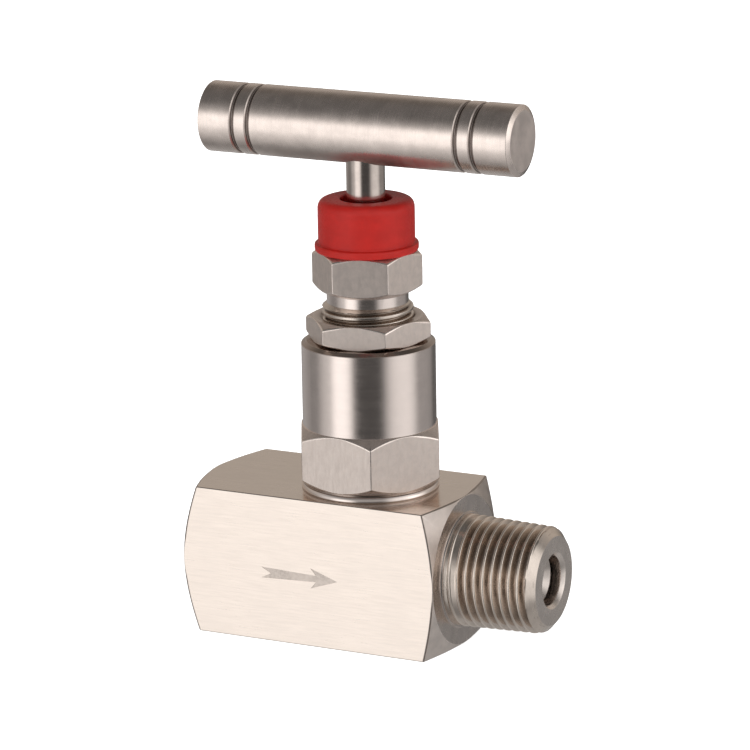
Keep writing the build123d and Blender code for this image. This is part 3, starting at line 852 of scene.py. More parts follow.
class Finishes:
    """All finishes of the valve, made once and shared."""

    def __init__(self) -> None:
        """Makes each material."""
        # in these finishes the groove share is painted shade in hollows and along marked lines, and the edge
        # share a painted highlight on edges and crests
        self.bar = Steel(
            "bar_steel_ground", tint=(0.915, 0.805, 0.72), rough=0.22, spread=0.05, patch=0.02,
            grain=(7.0, 0.3, 0.3), grain_depth=0.0014, cloud=(9.0, 5.0, 4.0), edge_share=0.0,
            groove_shade_share=0.75, groove_shade_tint=(0.25, 0.20, 0.18),
        ).material()
        self.bar_ends = Steel(
            "bar_steel_turned_ends", tint=(0.75, 0.665, 0.61), rough=0.26, spread=0.05,
            grain=(0.3, 3.5, 3.5), grain_depth=0.002, patch=0.05, groove_shade_share=0.8,
            edge_share=0.15,
        ).material()
        self.bar_cones = Steel(
            "bar_steel_bevels", tint=(0.90, 0.80, 0.735), rough=0.36, spread=0.05,
            grain=(0.3, 3.5, 3.5), grain_depth=0.0016, patch=0.04, groove_shade_share=0.8,
            edge_share=0.15,
        ).material()
        self.pipe_thread = Steel(
            "bar_steel_thread", tint=(0.86, 0.75, 0.66), rough=0.18, groove_shade_share=0.32, edge_share=1.0,
            grain=(0.3, 2.5, 2.5), grain_depth=0.0008, patch=0.05, groove_shade_tint=(0.20, 0.16, 0.14),
        ).material()
        self.bright = Steel(
            "bar_steel_bright", tint=(0.94, 0.84, 0.77), rough=0.26, spread=0.04,
            grain=(0.3, 2.5, 2.5), grain_depth=0.0006, patch=0.04,
        ).material()
        self.etched = Steel(
            "bar_steel_etched", tint=(0.72, 0.63, 0.565), rough=0.36, spread=0.08, patch=0.08,
            grain=(0.4, 0.4, 0.4), grain_depth=0.004,
        ).material()
        self.turned = Steel(
            "turned_steel_barrel", tint=(0.93, 0.814, 0.753), rough=0.19, spread=0.03,
            grain=(9.0, 9.0, 0.3), grain_depth=0.0006, patch=0.015, groove_shade_share=0.8,
            groove_shade_tint=(0.24, 0.175, 0.135),
        ).material()
        self.hexagon = Steel(
            "turned_steel_hexagon", tint=(0.86, 0.755, 0.69), rough=0.50, spread=0.05,
            grain=(0.35, 0.35, 2.5), grain_depth=0.0016, cloud=(1.1, 1.1, 1.4),
            cloud_depth=0.003, patch=0.03, edge_share=1.0, edge_rough=-0.28,
        ).material()
        self.thread = Steel(
            "turned_steel_thread", tint=(0.80, 0.70, 0.62), rough=0.22, groove_shade_share=0.72,
            grain=(3.0, 3.0, 0.3), grain_depth=0.0008, patch=0.06, edge_share=0.1,
        ).material()
        self.stem = Steel(
            "stem_steel_ground", tint=(0.75, 0.65, 0.59), rough=0.15, spread=0.03,
            grain=(5.0, 5.0, 0.22), grain_depth=0.0006, patch=0.04,
        ).material()
        self.handle = Steel(
            "handle_steel_turned", tint=(0.93, 0.81, 0.74), rough=0.25, spread=0.04,
            grain=(0.3, 7.0, 7.0), grain_depth=0.0010, patch=0.05, groove_shade_share=0.9,
            groove_shade_tint=(0.13, 0.095, 0.08), groove_rough=0.14, edge_share=0.9, dull_shaded=DullShadedPatch(),
        ).material()
        self.faced = Steel(
            "handle_steel_faced", tint=(0.96, 0.85, 0.79), rough=0.42, spread=0.04,
            grain=(0.3, 2.5, 2.5), grain_depth=0.0010, patch=0.04,
        ).material()
        self.inner = Steel(
            "inner_steel_turned", tint=(0.70, 0.66, 0.62), rough=0.30, grain=(3.0, 3.0, 0.3),
        ).material()
        self.hard = Steel(
            "hard_steel_ground", tint=(0.62, 0.61, 0.60), rough=0.16, spread=0.04,
            grain=(1.0, 1.0, 1.0), patch=0.05,
        ).material()
        self.black = Steel(
            "set_screw_blackened", tint=(0.10, 0.095, 0.09), rough=0.42, grain=(0.6, 0.6, 0.6),
            grain_depth=0.004, patch=0.2,
        ).material()
        self.seal = SoftPlastic("seal_ptfe_white", (0.80, 0.79, 0.75), (0.66, 0.65, 0.61)).material()
        self.packing = SoftPlastic(
            "packing_ptfe_cream", (0.74, 0.70, 0.60), (0.60, 0.56, 0.47)).material()
        self.cap = SoftPlastic(
            "cap_pvc_red", (0.33, 0.0065, 0.0035), (0.28, 0.0055, 0.003), rough=0.42, skin=0.005,
            gloss=0.3,
        ).material()


# ---------------------------------------------------------------- sub-assemblies


class BarFace(IntEnum):
    """The body's finishes, in the order of its materials."""

    GROUND = 0
    TURNED = 1
    THREAD = 2
    ETCHED = 3
    BRIGHT = 4
    CONE = 5


class ScrewedFace(IntEnum):
    """The finishes of the bonnet, the adjuster and the nut, in the order of their materials."""

    TURNED = 0
    HEXAGON = 1
    THREAD = 2


class StemFace(IntEnum):
    """The stem's finishes, in the order of its materials."""

    GROUND = 0
    THREAD = 1


class HandleFace(IntEnum):
    """The handle bar's finishes, in the order of its materials."""

    TURNED = 0
    FACED = 1


class Piece:
    """Gives a finished mesh its materials, its shading and its place in the frame."""

    @staticmethod
    def dress(made: bpy.types.Object, materials: Sequence[bpy.types.Material]) -> None:
        """Gives a mesh its finishes, in the order of its finish numbers."""
        for material in materials:
            made.data.materials.append(material)

    @staticmethod
    def seat(made: bpy.types.Object, body: Body, slot: Slot, node: str) -> bpy.types.Object:
        """Puts a piece on its body in place of its solid.

        Args:
            made: the piece.
            body: the body that it rides on.
            slot: not used.
            node: the solid that it stands for.

        Returns:
            The piece.
        """
        smooth(made)
        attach(made, body.value)
        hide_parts(node)
        LOG.info("%s: %d faces, rides on %s", made.name, len(made.data.polygons), body.value)
        return made


@dataclass(frozen=True)
class InletEnd:
    """The female end: a drilling with a taper thread, by its place along X and its radius."""

    face: float = -34.5
    mouth: float = 10.9
    drill: float = 9.13
    drill_floor: float = -17.0
    drill_lean: float = 59.0
    floor_round: float = 0.2
    crest: float = 9.161
    crest_at: float = -32.1
    pitch: float = 1.8143
    depth: float = 1.45
    thread_end: float = -19.5
    fade: float = 0.8

    def trim(self, along: float, reach: float) -> float:
        """Cuts the drilling and the mouth's bevel, and lets the thread fade at its far end."""
        reach = min(reach, self.drill + self.fade * max(0.0, self.thread_end - along))
        return max(reach, self.drill, self.mouth - (along - self.face))

    def outline(self) -> Outline:
        """Gives the drilling from its floor out to the mouth.

        Returns:
            Its corners and its thread, from the flow's axis outwards.
        """
        point = self.drill / math.tan(math.radians(self.drill_lean))
        return [
            Corner(0.0, self.drill_floor + point, finish=BarFace.TURNED),
            Corner(self.drill, self.drill_floor, self.floor_round, BarFace.TURNED),
            ThreadRun(self.face, self.thread_end, self.crest, self.depth, self.pitch, self.crest_at,
                      taper=-TAPER, inside=True, finish=BarFace.THREAD, trim=self.trim),
            Corner(self.mouth, self.face, 0.0, BarFace.TURNED),
        ]


@dataclass(frozen=True)
class OutletEnd:
    """The male end: a taper thread with a bevelled nose, and the bore in it, with painted shade deepening
    further in.
    """

    boss: float = 11.45
    boss_end: float = 20.85
    edge_break: float = 0.12
    crest: float = 10.55
    crest_at: float = 35.45
    pitch: float = 1.8143
    depth: float = 1.45
    runout: float = 23.35
    worn_down: float = 0.08
    long_fade: float = 0.16
    end_fade: float = 1.15
    nose: float = 39.55
    nose_reach: float = 8.85
    bevel_slope: float = 1.18
    bevel_start: float = 38.0
    bevel_lead: float = 0.25
    bevel_rise: float = 4.0
    mouth: float = 5.6
    mouth_round: float = 0.1
    socket: float = 4.9
    socket_end: float = 36.6
    bore: float = 3.8
    bore_floor: float = 12.5
    drill_lean: float = 59.0
    step_round: float = 0.08
    shade_at: float = 0.9
    shade_step: float = 0.15

    def trim(self, along: float, reach: float) -> float:
        """Cuts the nose bevel on the thread and lets the thread fade at the shoulder.

        Args:
            along: X of the row, in mm.
            reach: the thread's own radius there.

        Returns:
            The radius that is left.
        """
        line = self.crest + TAPER * (self.nose - along)
        bevel = self.nose_reach + self.bevel_slope * (self.nose - along)
        if along > self.bevel_start:
            lead = self.bevel_start + self.bevel_lead - along
            return min(bevel, max(reach, bevel - self.bevel_rise * lead))
        fade = self.worn_down + self.long_fade * max(0.0, along - self.boss_end)
        fade += self.end_fade * max(0.0, along - self.runout)
        return min(bevel, max(reach, line - fade))

    def outline(self, shoulder: float) -> Outline:
        """Gives the end from the bar's shoulder over the nose to the floor of the bore.

        Args:
            shoulder: X of the bar's shoulder, in mm.

        Returns:
            Its corners and its thread.
        """
        return [
            Corner(self.boss + self.edge_break, shoulder, self.edge_break, BarFace.TURNED),
            Corner(self.boss, self.boss_end, self.edge_break, BarFace.TURNED),
            ThreadRun(self.boss_end, self.nose, self.crest + TAPER * (self.nose - self.boss_end),
                      self.depth, self.pitch, self.crest_at, taper=-TAPER, finish=BarFace.THREAD,
                      trim=self.trim, form=WORN_FORM),
            *self.bored(),
        ]

    def bored(self) -> list[Corner]:
        """Gives the corners of the nose's face, the socket in it and the bore behind.

        Returns:
            The corners, from the nose back to the flow's axis.
        """
        point = self.bore / math.tan(math.radians(self.drill_lean))
        socket_mouth = self.nose - (self.mouth - self.socket)
        step_end = self.socket_end - (self.socket - self.bore)
        return [
            Corner(self.nose_reach, self.nose, 0.0, BarFace.BRIGHT),
            Corner(self.mouth, self.nose, self.edge_break, BarFace.BRIGHT),
            Corner(self.socket, socket_mouth, self.mouth_round, BarFace.BRIGHT),
            # painted shade deepens along the socket and the bore, further in
            Corner(self.socket, self.nose - self.shade_at, 0.0, BarFace.TURNED, groove=0.5),
            Corner(self.socket, self.socket_end + self.shade_step, 0.0, BarFace.TURNED, groove=0.65),
            Corner(self.socket, self.socket_end, self.step_round, BarFace.BRIGHT),
            Corner(self.bore, step_end, self.step_round, BarFace.BRIGHT),
            Corner(self.bore, step_end - self.shade_step, 0.0, BarFace.TURNED, groove=0.7),
            Corner(self.bore, self.bore_floor, 0.1, BarFace.TURNED, groove=0.8),
            Corner(0.0, self.bore_floor - point, finish=BarFace.TURNED, groove=1.0),
        ]


@dataclass(frozen=True)
class BonnetWell:
    """The well under the bonnet, by height and radius, with the seat and the two cross drillings."""

    passage: float = 2.4
    passage_point: float = 1.45
    low_passage: float = 8.4
    low_passage_start: float = -18.5
    high_passage: float = 15.0
    high_passage_start: float = 5.0
    high_passage_end: float = 12.9
    seat_low: float = 11.56
    seat_high: float = 12.6
    seat_reach: float = 3.0
    reach: float = 6.5
    high: float = 18.7
    floor_round: float = 0.3
    thread_bore: float = 9.05
    thread_low: float = 20.0
    thread_high: float = 30.6
    crest: float = 10.06
    depth: float = 0.87
    pitch: float = 1.5
    phase: float = 22.0
    fade: float = 1.2
    mouth: float = 10.4
    above_bar: float = 31.4
    columns: int = 120
    passage_columns: int = 48

    def trim(self, along: float, reach: float) -> float:
        """Lets the thread for the bonnet's foot fade at its low end."""
        return min(reach, self.thread_bore + self.fade * max(0.0, along - self.thread_low))

    def outline(self) -> Outline:
        """Gives the well from the low passage up to above the bar.

        Returns:
            Its corners and its thread.
        """
        below = (
            (0.0, self.low_passage, 0.0), (self.passage, self.low_passage, 0.0),
            (self.passage, self.seat_low, 0.0), (self.seat_reach, self.seat_high, 0.0),
            (self.reach, self.seat_high, self.floor_round), (self.reach, self.high, 0.0),
            (self.thread_bore, self.high, 0.0),
        )
        return [
            *(Corner(r, at, off, BarFace.TURNED) for r, at, off in below),
            ThreadRun(self.thread_low, self.thread_high, self.crest, self.depth, self.pitch,
                      self.phase, finish=BarFace.THREAD, trim=self.trim),
            Corner(self.mouth, self.above_bar, finish=BarFace.TURNED),
            Corner(0.0, self.above_bar, finish=BarFace.TURNED),
        ]

    def tools(self) -> list[bpy.types.Object]:
        """Builds the shapes of the well and of the passages.

        Returns:
            The tools that cut them.
        """
        outline, columns = self.outline(), self.passage_columns
        low = ((0.0, self.low_passage_start), (self.passage, self.low_passage_start),
               (self.passage, 0.0), (0.0, self.passage_point))
        high = ((0.0, self.high_passage_start), (self.passage, self.high_passage_start),
                (self.passage, self.high_passage_end), (0.0, self.high_passage_end))
        return [
            turned("well_tool", Axis.Z, Section(columns=self.columns), lambda reach: outline),
            drill("low_tool", Axis.X, columns, low, self.low_passage, BarFace.TURNED),
            drill("high_tool", Axis.X, columns, high, self.high_passage, BarFace.TURNED),
        ]


@dataclass
class ValveBar(Piece):
    """The body: square bar with turned ends, a thread at each end and the well under the bonnet."""

    finishes: Finishes
    inlet: InletEnd = InletEnd()
    outlet: OutletEnd = OutletEnd()
    well: BonnetWell = BonnetWell()
    half: float = 14.9995
    axis_height: float = 15.0
    corner_at: float = 45.0
    edge_round: float = 0.25
    columns: int = 164
    shoulder: float = 20.5
    end_reach: float = 14.85
    end_break: float = 0.12
    inlet_slope: float = 0.4986
    inlet_edge_round: float = 0.6
    outlet_slope: float = 0.344
    outlet_edge_round: float = 0.45
    arrow_depth: float = 0.05
    arrow_margin: float = 0.3
    arrow: tuple[tuple[float, float], ...] = (
        (-17.0, 15.2), (-14.9, 14.1), (-17.0, 13.0), (-4.9, 13.5), (-6.1, 12.1), (-0.2, 14.1),
        (-6.1, 16.2), (-4.9, 14.8),
    )

    def outline(self, reach: float) -> Outline:
        """Gives the outline from the floor of the inlet's drilling to the floor of the outlet's bore.

        Args:
            reach: how far the bar's flats reach at this angle.

        Returns:
            Its corners and threads.
        """
        inlet_edge = self.inlet.face + self.inlet_slope * (reach - self.end_reach)
        outlet_edge = self.shoulder - self.outlet_slope * (reach - self.end_reach)
        return [
            *self.inlet.outline(),
            Corner(self.end_reach, self.inlet.face, self.end_break, BarFace.CONE),
            # both rounded edges of the flats take a painted dark shade line along their rounding
            Corner(reach, inlet_edge, self.inlet_edge_round, BarFace.GROUND, seam=1.0),
            Corner(reach, outlet_edge, self.outlet_edge_round, BarFace.CONE, seam=1.0),
            Corner(self.end_reach, self.shoulder, self.end_break, BarFace.TURNED),
            *self.outlet.outline(self.shoulder),
        ]

    def build(self) -> bpy.types.Object:
        """Builds and dresses the body.

        Returns:
            The body, seated on its node.
        """
        section = Section(4, self.half, self.corner_at, self.edge_round, self.columns)
        made = turned("valve_bar", Axis.X, section, self.outline, (0.0, 0.0, self.axis_height))
        mark = prism("arrow_tool", self.arrow, -self.half - self.arrow_margin,
                     -self.half + self.arrow_depth, BarFace.ETCHED)
        self.dress(made, [
            self.finishes.bar, self.finishes.bar_ends, self.finishes.pipe_thread,
            self.finishes.etched, self.finishes.bright, self.finishes.bar_cones,
        ])
        cut(made, [*self.well.tools(), mark])
        return self.seat(made, Body.VALVE, Slot.BAR, "body")


@dataclass(frozen=True)
class HexagonBevel:
    """A hexagon between two planes, its corners turned off to cones.

    The cones lean by an angle in degrees and start where the faces' own reach ends; the field after
    corner_round is the painted shade on the top face's rim.
    """

    flats: float
    low: float
    high: float
    lean: float
    low_reach: float
    high_reach: float
    corner_at: float
    corner_round: float = 0.3
    top_rim_shade: float = 0.0
    face_round: float = 0.08
    low_round: float = 0.45
    high_round: float = 0.7
    columns: int = 156

    def section(self) -> Section:
        """Gives the section across the hexagon."""
        return Section(6, 0.5 * self.flats, self.corner_at, self.corner_round, self.columns)

    def corners(self, reach: float) -> list[Corner]:
        """Gives the outline's corners up one side of the hexagon.

        Args:
            reach: how far the flats reach at this angle.

        Returns:
            The four corners, from the low face to the high one.
        """
        slope = math.tan(math.radians(self.lean))
        side_low = self.low + slope * (reach - self.low_reach)
        side_high = self.high - slope * (reach - self.high_reach)
        return [
            Corner(self.low_reach, self.low, self.face_round, ScrewedFace.TURNED),
            Corner(reach, side_low, self.low_round, ScrewedFace.HEXAGON),
            Corner(reach, side_high, self.high_round, ScrewedFace.HEXAGON),
            Corner(self.high_reach, self.high, self.face_round, ScrewedFace.TURNED, groove=self.top_rim_shade),
        ]


@dataclass(frozen=True)
class GlandThread:
    """The thread that joins the packing adjuster to the bonnet and to its lock nut."""

    crest: float = 9.0
    bore: float = 8.188
    depth: float = 0.92
    pitch: float = 1.5
    phase: float = 66.24
    mouth: float = 9.45

    def outside(self, low: float, high: float, trim: Trim) -> ThreadRun:
        """Gives the adjuster's thread.

        Args:
            low: Z of its low end, in mm.
            high: Z of its high end.
            trim: cuts its ends.

        Returns:
            The thread.
        """
        return ThreadRun(low, high, self.crest, self.depth, self.pitch, self.phase,
                         finish=ScrewedFace.THREAD, trim=trim, form=BROAD_FORM)

    def inside(self, low: float, high: float, trim: Trim, trim_mark: float = 0.0) -> ThreadRun:
        """Gives the thread in a bore that takes the adjuster.

        Args:
            low: Z of its low end, in mm.
            high: Z of its high end.
            trim: cuts its ends.
            trim_mark: how much painted shade the trimmed faces take.

        Returns:
            The thread.
        """
        return ThreadRun(low, high, self.bore, self.depth, self.pitch,
                         self.phase + 0.5 * self.pitch, inside=True, finish=ScrewedFace.THREAD,
                         trim=trim, trim_mark=trim_mark)


@dataclass
class ScrewedPiece(Piece):
    """A piece with a hexagon, turned about the stem's axis."""

    finishes: Finishes
    name: str
    node: str
    hexagon: HexagonBevel
    gland: GlandThread = GlandThread()

    def outline(self, reach: float) -> Outline:
        """Gives the piece's closed outline.

        Args:
            reach: how far the hexagon's flats reach at this angle.

        Returns:
            Its corners and threads.
        """
        raise NotImplementedError

    def build(self) -> bpy.types.Object:
        """Builds and dresses the piece.

        Returns:
            The piece, seated on its node.
        """
        made = turned(self.name, Axis.Z, self.hexagon.section(), self.outline, closed=True)
        self.dress(made, [self.finishes.turned, self.finishes.hexagon, self.finishes.thread])
        return self.seat(made, Body.VALVE, Slot.TURNED, self.node)


@dataclass
class Bonnet(ScrewedPiece):
    """The bonnet: threaded foot, round collar, hexagon and barrel, bored for the packing."""

    name: str = "screwed_bonnet"
    node: str = "bonnet"
    hexagon: HexagonBevel = HexagonBevel(
        flats=27.0, low=31.6, high=43.0, lean=38.0, low_reach=13.36, high_reach=13.36,
        corner_at=-63.3, corner_round=0.35,
    )
    foot_low: float = 20.0
    foot_high: float = 28.5
    foot_crest: float = 10.0
    foot_depth: float = 0.92
    foot_pitch: float = 1.5
    foot_phase: float = 22.0
    foot_end: float = 9.1
    foot_neck: float = 9.05
    foot_fade: float = 1.4
    collar_low: float = 30.0
    # radius, height and painted shade of each point on the collar's face; the shade darkens it at the foot
    # and under the hexagon
    collar: tuple[tuple[float, float, float], ...] = (
        (13.6, 30.25, 0.8), (13.59, 30.35, 0.0), (13.54, 30.6, 0.0), (13.43, 30.85, 0.0),
        (13.34, 31.0, 0.0), (13.28, 31.1, 0.8),
    )
    neck: float = 13.1
    neck_low: float = 31.2
    barrel: float = 13.225
    barrel_shade_from: float = 59.2
    barrel_high: float = 59.38
    rim: float = 12.325
    rim_inner: float = 11.9
    high: float = 60.0
    gland_low: float = 44.1
    gland_fade: float = 0.8
    gland_mouth: float = 9.8
    packing_bore: float = 8.0
    packing_floor: float = 33.5
    guide: float = 5.05
    guide_low: float = 28.2
    skirt: float = 6.0
    skirt_high: float = 27.25

    def foot_trim(self, along: float, reach: float) -> float:
        """Bevels the foot's thread and lets it fade at the collar."""
        fade = self.foot_neck + self.foot_fade * max(0.0, self.foot_high - along)
        return min(reach, self.foot_end + (along - self.foot_low), fade)

    def gland_trim(self, along: float, reach: float) -> float:
        """Lets the bore's thread fade at its floor and bevels its mouth."""
        reach = min(reach, self.gland.bore + self.gland_fade * (along - self.gland_low))
        return max(reach, self.gland.mouth - (self.high - along))

    def outline(self, reach: float) -> Outline:
        """Gives the outline: up the outside, in over the top and down the bores.

        Args:
            reach: how far the hexagon's flats reach at this angle.

        Returns:
            Its corners and threads.
        """
        collar_reach = self.collar[0][0]
        return [
            ThreadRun(self.foot_low, self.foot_high, self.foot_crest, self.foot_depth,
                      self.foot_pitch, self.foot_phase, finish=ScrewedFace.THREAD,
                      trim=self.foot_trim),
            Corner(self.foot_neck, self.foot_high), Corner(self.foot_neck, self.collar_low, 0.2),
            # painted shade darkens the collar's foot, the neck and the collar under the hexagon
            Corner(collar_reach, self.collar_low, 0.1, groove=1.0),
            *(Corner(r, at, groove=dark) for r, at, dark in self.collar),
            Corner(self.neck, self.neck_low, 0.05, groove=1.0),
            Corner(self.neck, self.hexagon.low, groove=1.0),
            *self.hexagon.corners(reach),
            # the barrel is plain up to where its painted shade starts; painted shade then darkens its top
            # rim and the top face round the bore, under the lock nut
            Corner(self.barrel, self.hexagon.high, 0.05), Corner(self.barrel, self.barrel_shade_from),
            Corner(self.barrel, self.barrel_high, 0.2, groove=0.7),
            Corner(self.rim, self.high, 0.1, groove=0.7),
            Corner(self.rim_inner, self.high, groove=1.0),
            Corner(self.gland_mouth, self.high, groove=1.0),
            self.gland.inside(self.gland_low, self.high, self.gland_trim),
            Corner(self.packing_bore, self.gland_low),
            Corner(self.packing_bore, self.packing_floor, 0.15),
            Corner(self.guide, self.packing_floor, 0.1), Corner(self.guide, self.guide_low),
            Corner(self.skirt, self.skirt_high), Corner(self.skirt, self.foot_low, 0.15),
        ]


@dataclass
class PackingAdjuster(ScrewedPiece):
    """The packing adjuster: outside thread, neck, hexagon and the spigot under the cap."""

    name: str = "gland_adjuster"
    node: str = "packing_adjuster"
    hexagon: HexagonBevel = HexagonBevel(
        flats=19.0, low=69.7, high=77.9, lean=27.0, low_reach=8.4, high_reach=9.36,
        corner_at=-42.2,
    )
    low: float = 48.5
    foot: float = 8.0
    thread_high: float = 67.6
    thread_fade: float = 1.2
    neck: float = 8.05
    neck_low: float = 67.7
    spigot: float = 7.6
    high: float = 84.5
    hole: float = 4.0
    pocket: float = 5.05
    pocket_roof: float = 66.2

    def trim(self, along: float, reach: float) -> float:
        """Bevels the thread's foot and lets it fade at the neck."""
        fade = self.neck + self.thread_fade * (self.thread_high - along)
        return min(reach, self.foot + (along - self.low), fade)

    def outline(self, reach: float) -> Outline:
        """Gives the outline: up the outside, over the spigot and down the hole.

        Args:
            reach: how far the hexagon's flats reach at this angle.

        Returns:
            Its corners and threads.
        """
        return [
            self.gland.outside(self.low, self.thread_high, self.trim),
            Corner(self.neck, self.neck_low), Corner(self.neck, self.hexagon.low, 0.3),
            *self.hexagon.corners(reach),
            Corner(self.spigot, self.hexagon.high, 0.1), Corner(self.spigot, self.high, 0.3),
            Corner(self.hole, self.high, 0.2), Corner(self.hole, self.pocket_roof, 0.05),
            Corner(self.pocket, self.pocket_roof, 0.05), Corner(self.pocket, self.low, 0.2),
        ]


@dataclass
class LockNut(ScrewedPiece):
    """The lock nut that holds the adjuster against the bonnet."""

    name: str = "adjuster_lock_nut"
    node: str = "lock_nut"
    # the top rim's painted shade deepens towards the thread, where the adjuster enters the nut
    hexagon: HexagonBevel = HexagonBevel(
        flats=22.0, low=60.0, high=64.8, lean=27.0, low_reach=10.86, high_reach=10.86,
        corner_at=-48.3, top_rim_shade=0.45,
    )
    mouth_ring: float = 9.7

    def trim(self, along: float, reach: float) -> float:
        """Bevels both mouths of the thread."""
        mouth = self.gland.mouth
        return max(reach, mouth - (self.hexagon.high - along), mouth - (along - self.hexagon.low))

    def outline(self, reach: float) -> Outline:
        """Gives the outline: up the outside and down the thread.

        Args:
            reach: how far the hexagon's flats reach at this angle.

        Returns:
            Its corners and its thread.
        """
        # painted shade darkens the top face towards the thread, and the thread's bevelled mouths most, where
        # the adjuster enters
        return [
            *self.hexagon.corners(reach),
            Corner(self.mouth_ring, self.hexagon.high, groove=0.7),
            self.gland.inside(self.hexagon.low, self.hexagon.high, self.trim, trim_mark=0.9),
        ]


@dataclass
class DustCap(Piece):
    """The soft cap over the adjuster's spigot."""

    finishes: Finishes
    side: float = 9.5
    rim: float = 10.2
    rim_height: float = 1.5
    rim_step: float = 1.65
    low: float = 77.9
    high: float = 88.2
    top_round: float = 2.7
    hole: float = 5.1
    hollow: float = 7.7
    roof: float = 86.4
    columns: int = 160

    def outline(self, reach: float) -> Outline:
        """Gives the cap's outline, with its rolled rim and its round shoulder.

        Args:
            reach: not used, as the cap is round.

        Returns:
            Its corners.
        """
        return [
            Corner(self.rim, self.low, 0.55), Corner(self.rim, self.low + self.rim_height, 0.5),
            Corner(self.side, self.low + self.rim_step, 0.25),
            Corner(self.side, self.high, self.top_round, steps=10),
            Corner(self.hole, self.high, 0.35), Corner(self.hole, self.roof, 0.2),
            Corner(self.hollow, self.roof, 0.5), Corner(self.hollow, self.low, 0.2),
        ]

    def build(self) -> bpy.types.Object:
        """Builds and dresses the cap.

        Returns:
            The cap, seated on its node.
        """
        section = Section(columns=self.columns)
        made = turned("soft_dust_cap", Axis.Z, section, self.outline, closed=True)
        self.dress(made, [self.finishes.cap])
        return self.seat(made, Body.VALVE, Slot.CAP, "dust_cap")


@dataclass
class Stem(Piece):
    """The stem: button for the tip, guide, drive thread and the shank that carries the handle."""

    finishes: Finishes
    button: float = 3.5
    button_low: float = 17.1
    button_high: float = 19.5
    neck: float = 2.5
    collar: float = 5.6
    collar_low: float = 21.9
    collar_high: float = 22.6
    guide: float = 5.0
    guide_low: float = 23.2
    guide_high: float = 43.4
    relief: float = 4.3
    relief_low: float = 43.5
    drive_low: float = 44.6
    drive_high: float = 60.6
    drive_crest: float = 4.96
    drive_depth: float = 0.61
    drive_pitch: float = 1.0
    drive_phase: float = 45.0
    shank: float = 3.8
    shank_low: float = 60.9
    top: float = 105.9
    flat_front: float = 3.3
    flat_back: float = 6.0
    flat: tuple[tuple[float, float], ...] = ((-6.0, 99.5), (6.0, 99.5), (6.0, 104.5), (-6.0, 104.5))
    columns: int = 96

    def drive_trim(self, along: float, reach: float) -> float:
        """Bevels both ends of the drive thread."""
        return min(reach, self.relief + (along - self.drive_low),
                   self.relief + (self.drive_high - along))

    def outline(self, reach: float) -> Outline:
        """Gives the stem's outline from its button to its top.

        Args:
            reach: not used, as the stem is round.

        Returns:
            Its corners and its thread.
        """
        return [
            Corner(0.0, self.button_low), Corner(self.button, self.button_low, 0.3),
            Corner(self.button, self.button_high, 0.15), Corner(self.neck, self.button_high, 0.15),
            Corner(self.neck, self.collar_low, 0.15), Corner(self.collar, self.collar_low, 0.1),
            Corner(self.collar, self.collar_high, 0.08), Corner(self.guide, self.guide_low, 0.08),
            Corner(self.guide, self.guide_high, 0.12), Corner(self.relief, self.relief_low, 0.08),
            ThreadRun(self.drive_low, self.drive_high, self.drive_crest, self.drive_depth,
                      self.drive_pitch, self.drive_phase, finish=StemFace.THREAD,
                      trim=self.drive_trim),
            Corner(self.shank, self.shank_low, 0.1), Corner(self.shank, self.top, 0.3),
            Corner(0.0, self.top),
        ]

    def build(self) -> bpy.types.Object:
        """Builds and dresses the stem.

        Returns:
            The stem, seated on its node.
        """
        made = turned("turned_stem", Axis.Z, Section(columns=self.columns), self.outline)
        flat = prism("flat_tool", self.flat, self.flat_front, self.flat_back, StemFace.GROUND)
        self.dress(made, [self.finishes.stem, self.finishes.thread])
        cut(made, [flat])
        return self.seat(made, Body.STEM, Slot.STEM, "stem")


@dataclass
class HandleBar(Piece):
    """The round bar across the stem's top, with its grooves and its set screw's hole."""

    finishes: Finishes
    radius: float = 6.993
    half_length: float = 33.6
    height: float = 102.0
    end_bevel: float = 1.1
    bevel_length: float = 0.5
    edge_break: float = 0.14
    groove_places: tuple[float, ...] = (-25.7, -22.34, 22.34, 25.7)
    groove_depth: float = 0.5
    groove_floor: float = 0.24
    groove_start: float = 0.6
    groove_end: float = 0.56
    stem_hole: tuple[tuple[float, float], ...] = ((0.0, 93.0), (3.86, 93.0), (3.86, 106.0), (0.0, 106.0))
    screw_hole: tuple[tuple[float, float], ...] = (
        (0.0, 2.6), (2.0, 2.6), (2.0, 6.6), (2.5, 7.1), (2.5, 8.0), (0.0, 8.0),
    )
    columns: int = 160
    stem_hole_columns: int = 72
    screw_hole_columns: int = 48

    def outline(self, reach: float) -> Outline:
        """Gives the bar's outline, with its bevelled ends and its grooves.

        Args:
            reach: not used, as the bar is round.

        Returns:
            Its corners.
        """
        r, half, off = self.radius, self.half_length, self.edge_break
        face, floor = r - self.end_bevel, r - self.groove_depth
        outline = [
            Corner(0.0, -half, finish=HandleFace.FACED), Corner(face, -half, off),
            Corner(r, self.bevel_length - half, off),
        ]
        # the grooves' floors take painted shade
        for place in self.groove_places:
            outline += [
                Corner(r, place - self.groove_start, 0.08),
                Corner(floor, place - self.groove_floor, 0.12, groove=1.0),
                Corner(floor, place + self.groove_floor, 0.12, groove=1.0),
                Corner(r, place + self.groove_end, 0.05),
            ]
        outline += [
            Corner(r, half - self.bevel_length, off), Corner(face, half, off, HandleFace.FACED),
            Corner(0.0, half, finish=HandleFace.FACED),
        ]
        return outline

    def build(self) -> bpy.types.Object:
        """Builds and dresses the bar.

        Returns:
            The bar, seated on its node.
        """
        made = turned("handle_cross_bar", Axis.X, Section(columns=self.columns), self.outline,
                      (0.0, 0.0, self.height))
        self.dress(made, [self.finishes.handle, self.finishes.faced])
        cut(made, [
            drill("hole_tool", Axis.Z, self.stem_hole_columns, self.stem_hole),
            drill("screw_tool", Axis.Y, self.screw_hole_columns, self.screw_hole, self.height),
        ])
        return self.seat(made, Body.STEM, Slot.HANDLE, "handle_bar")


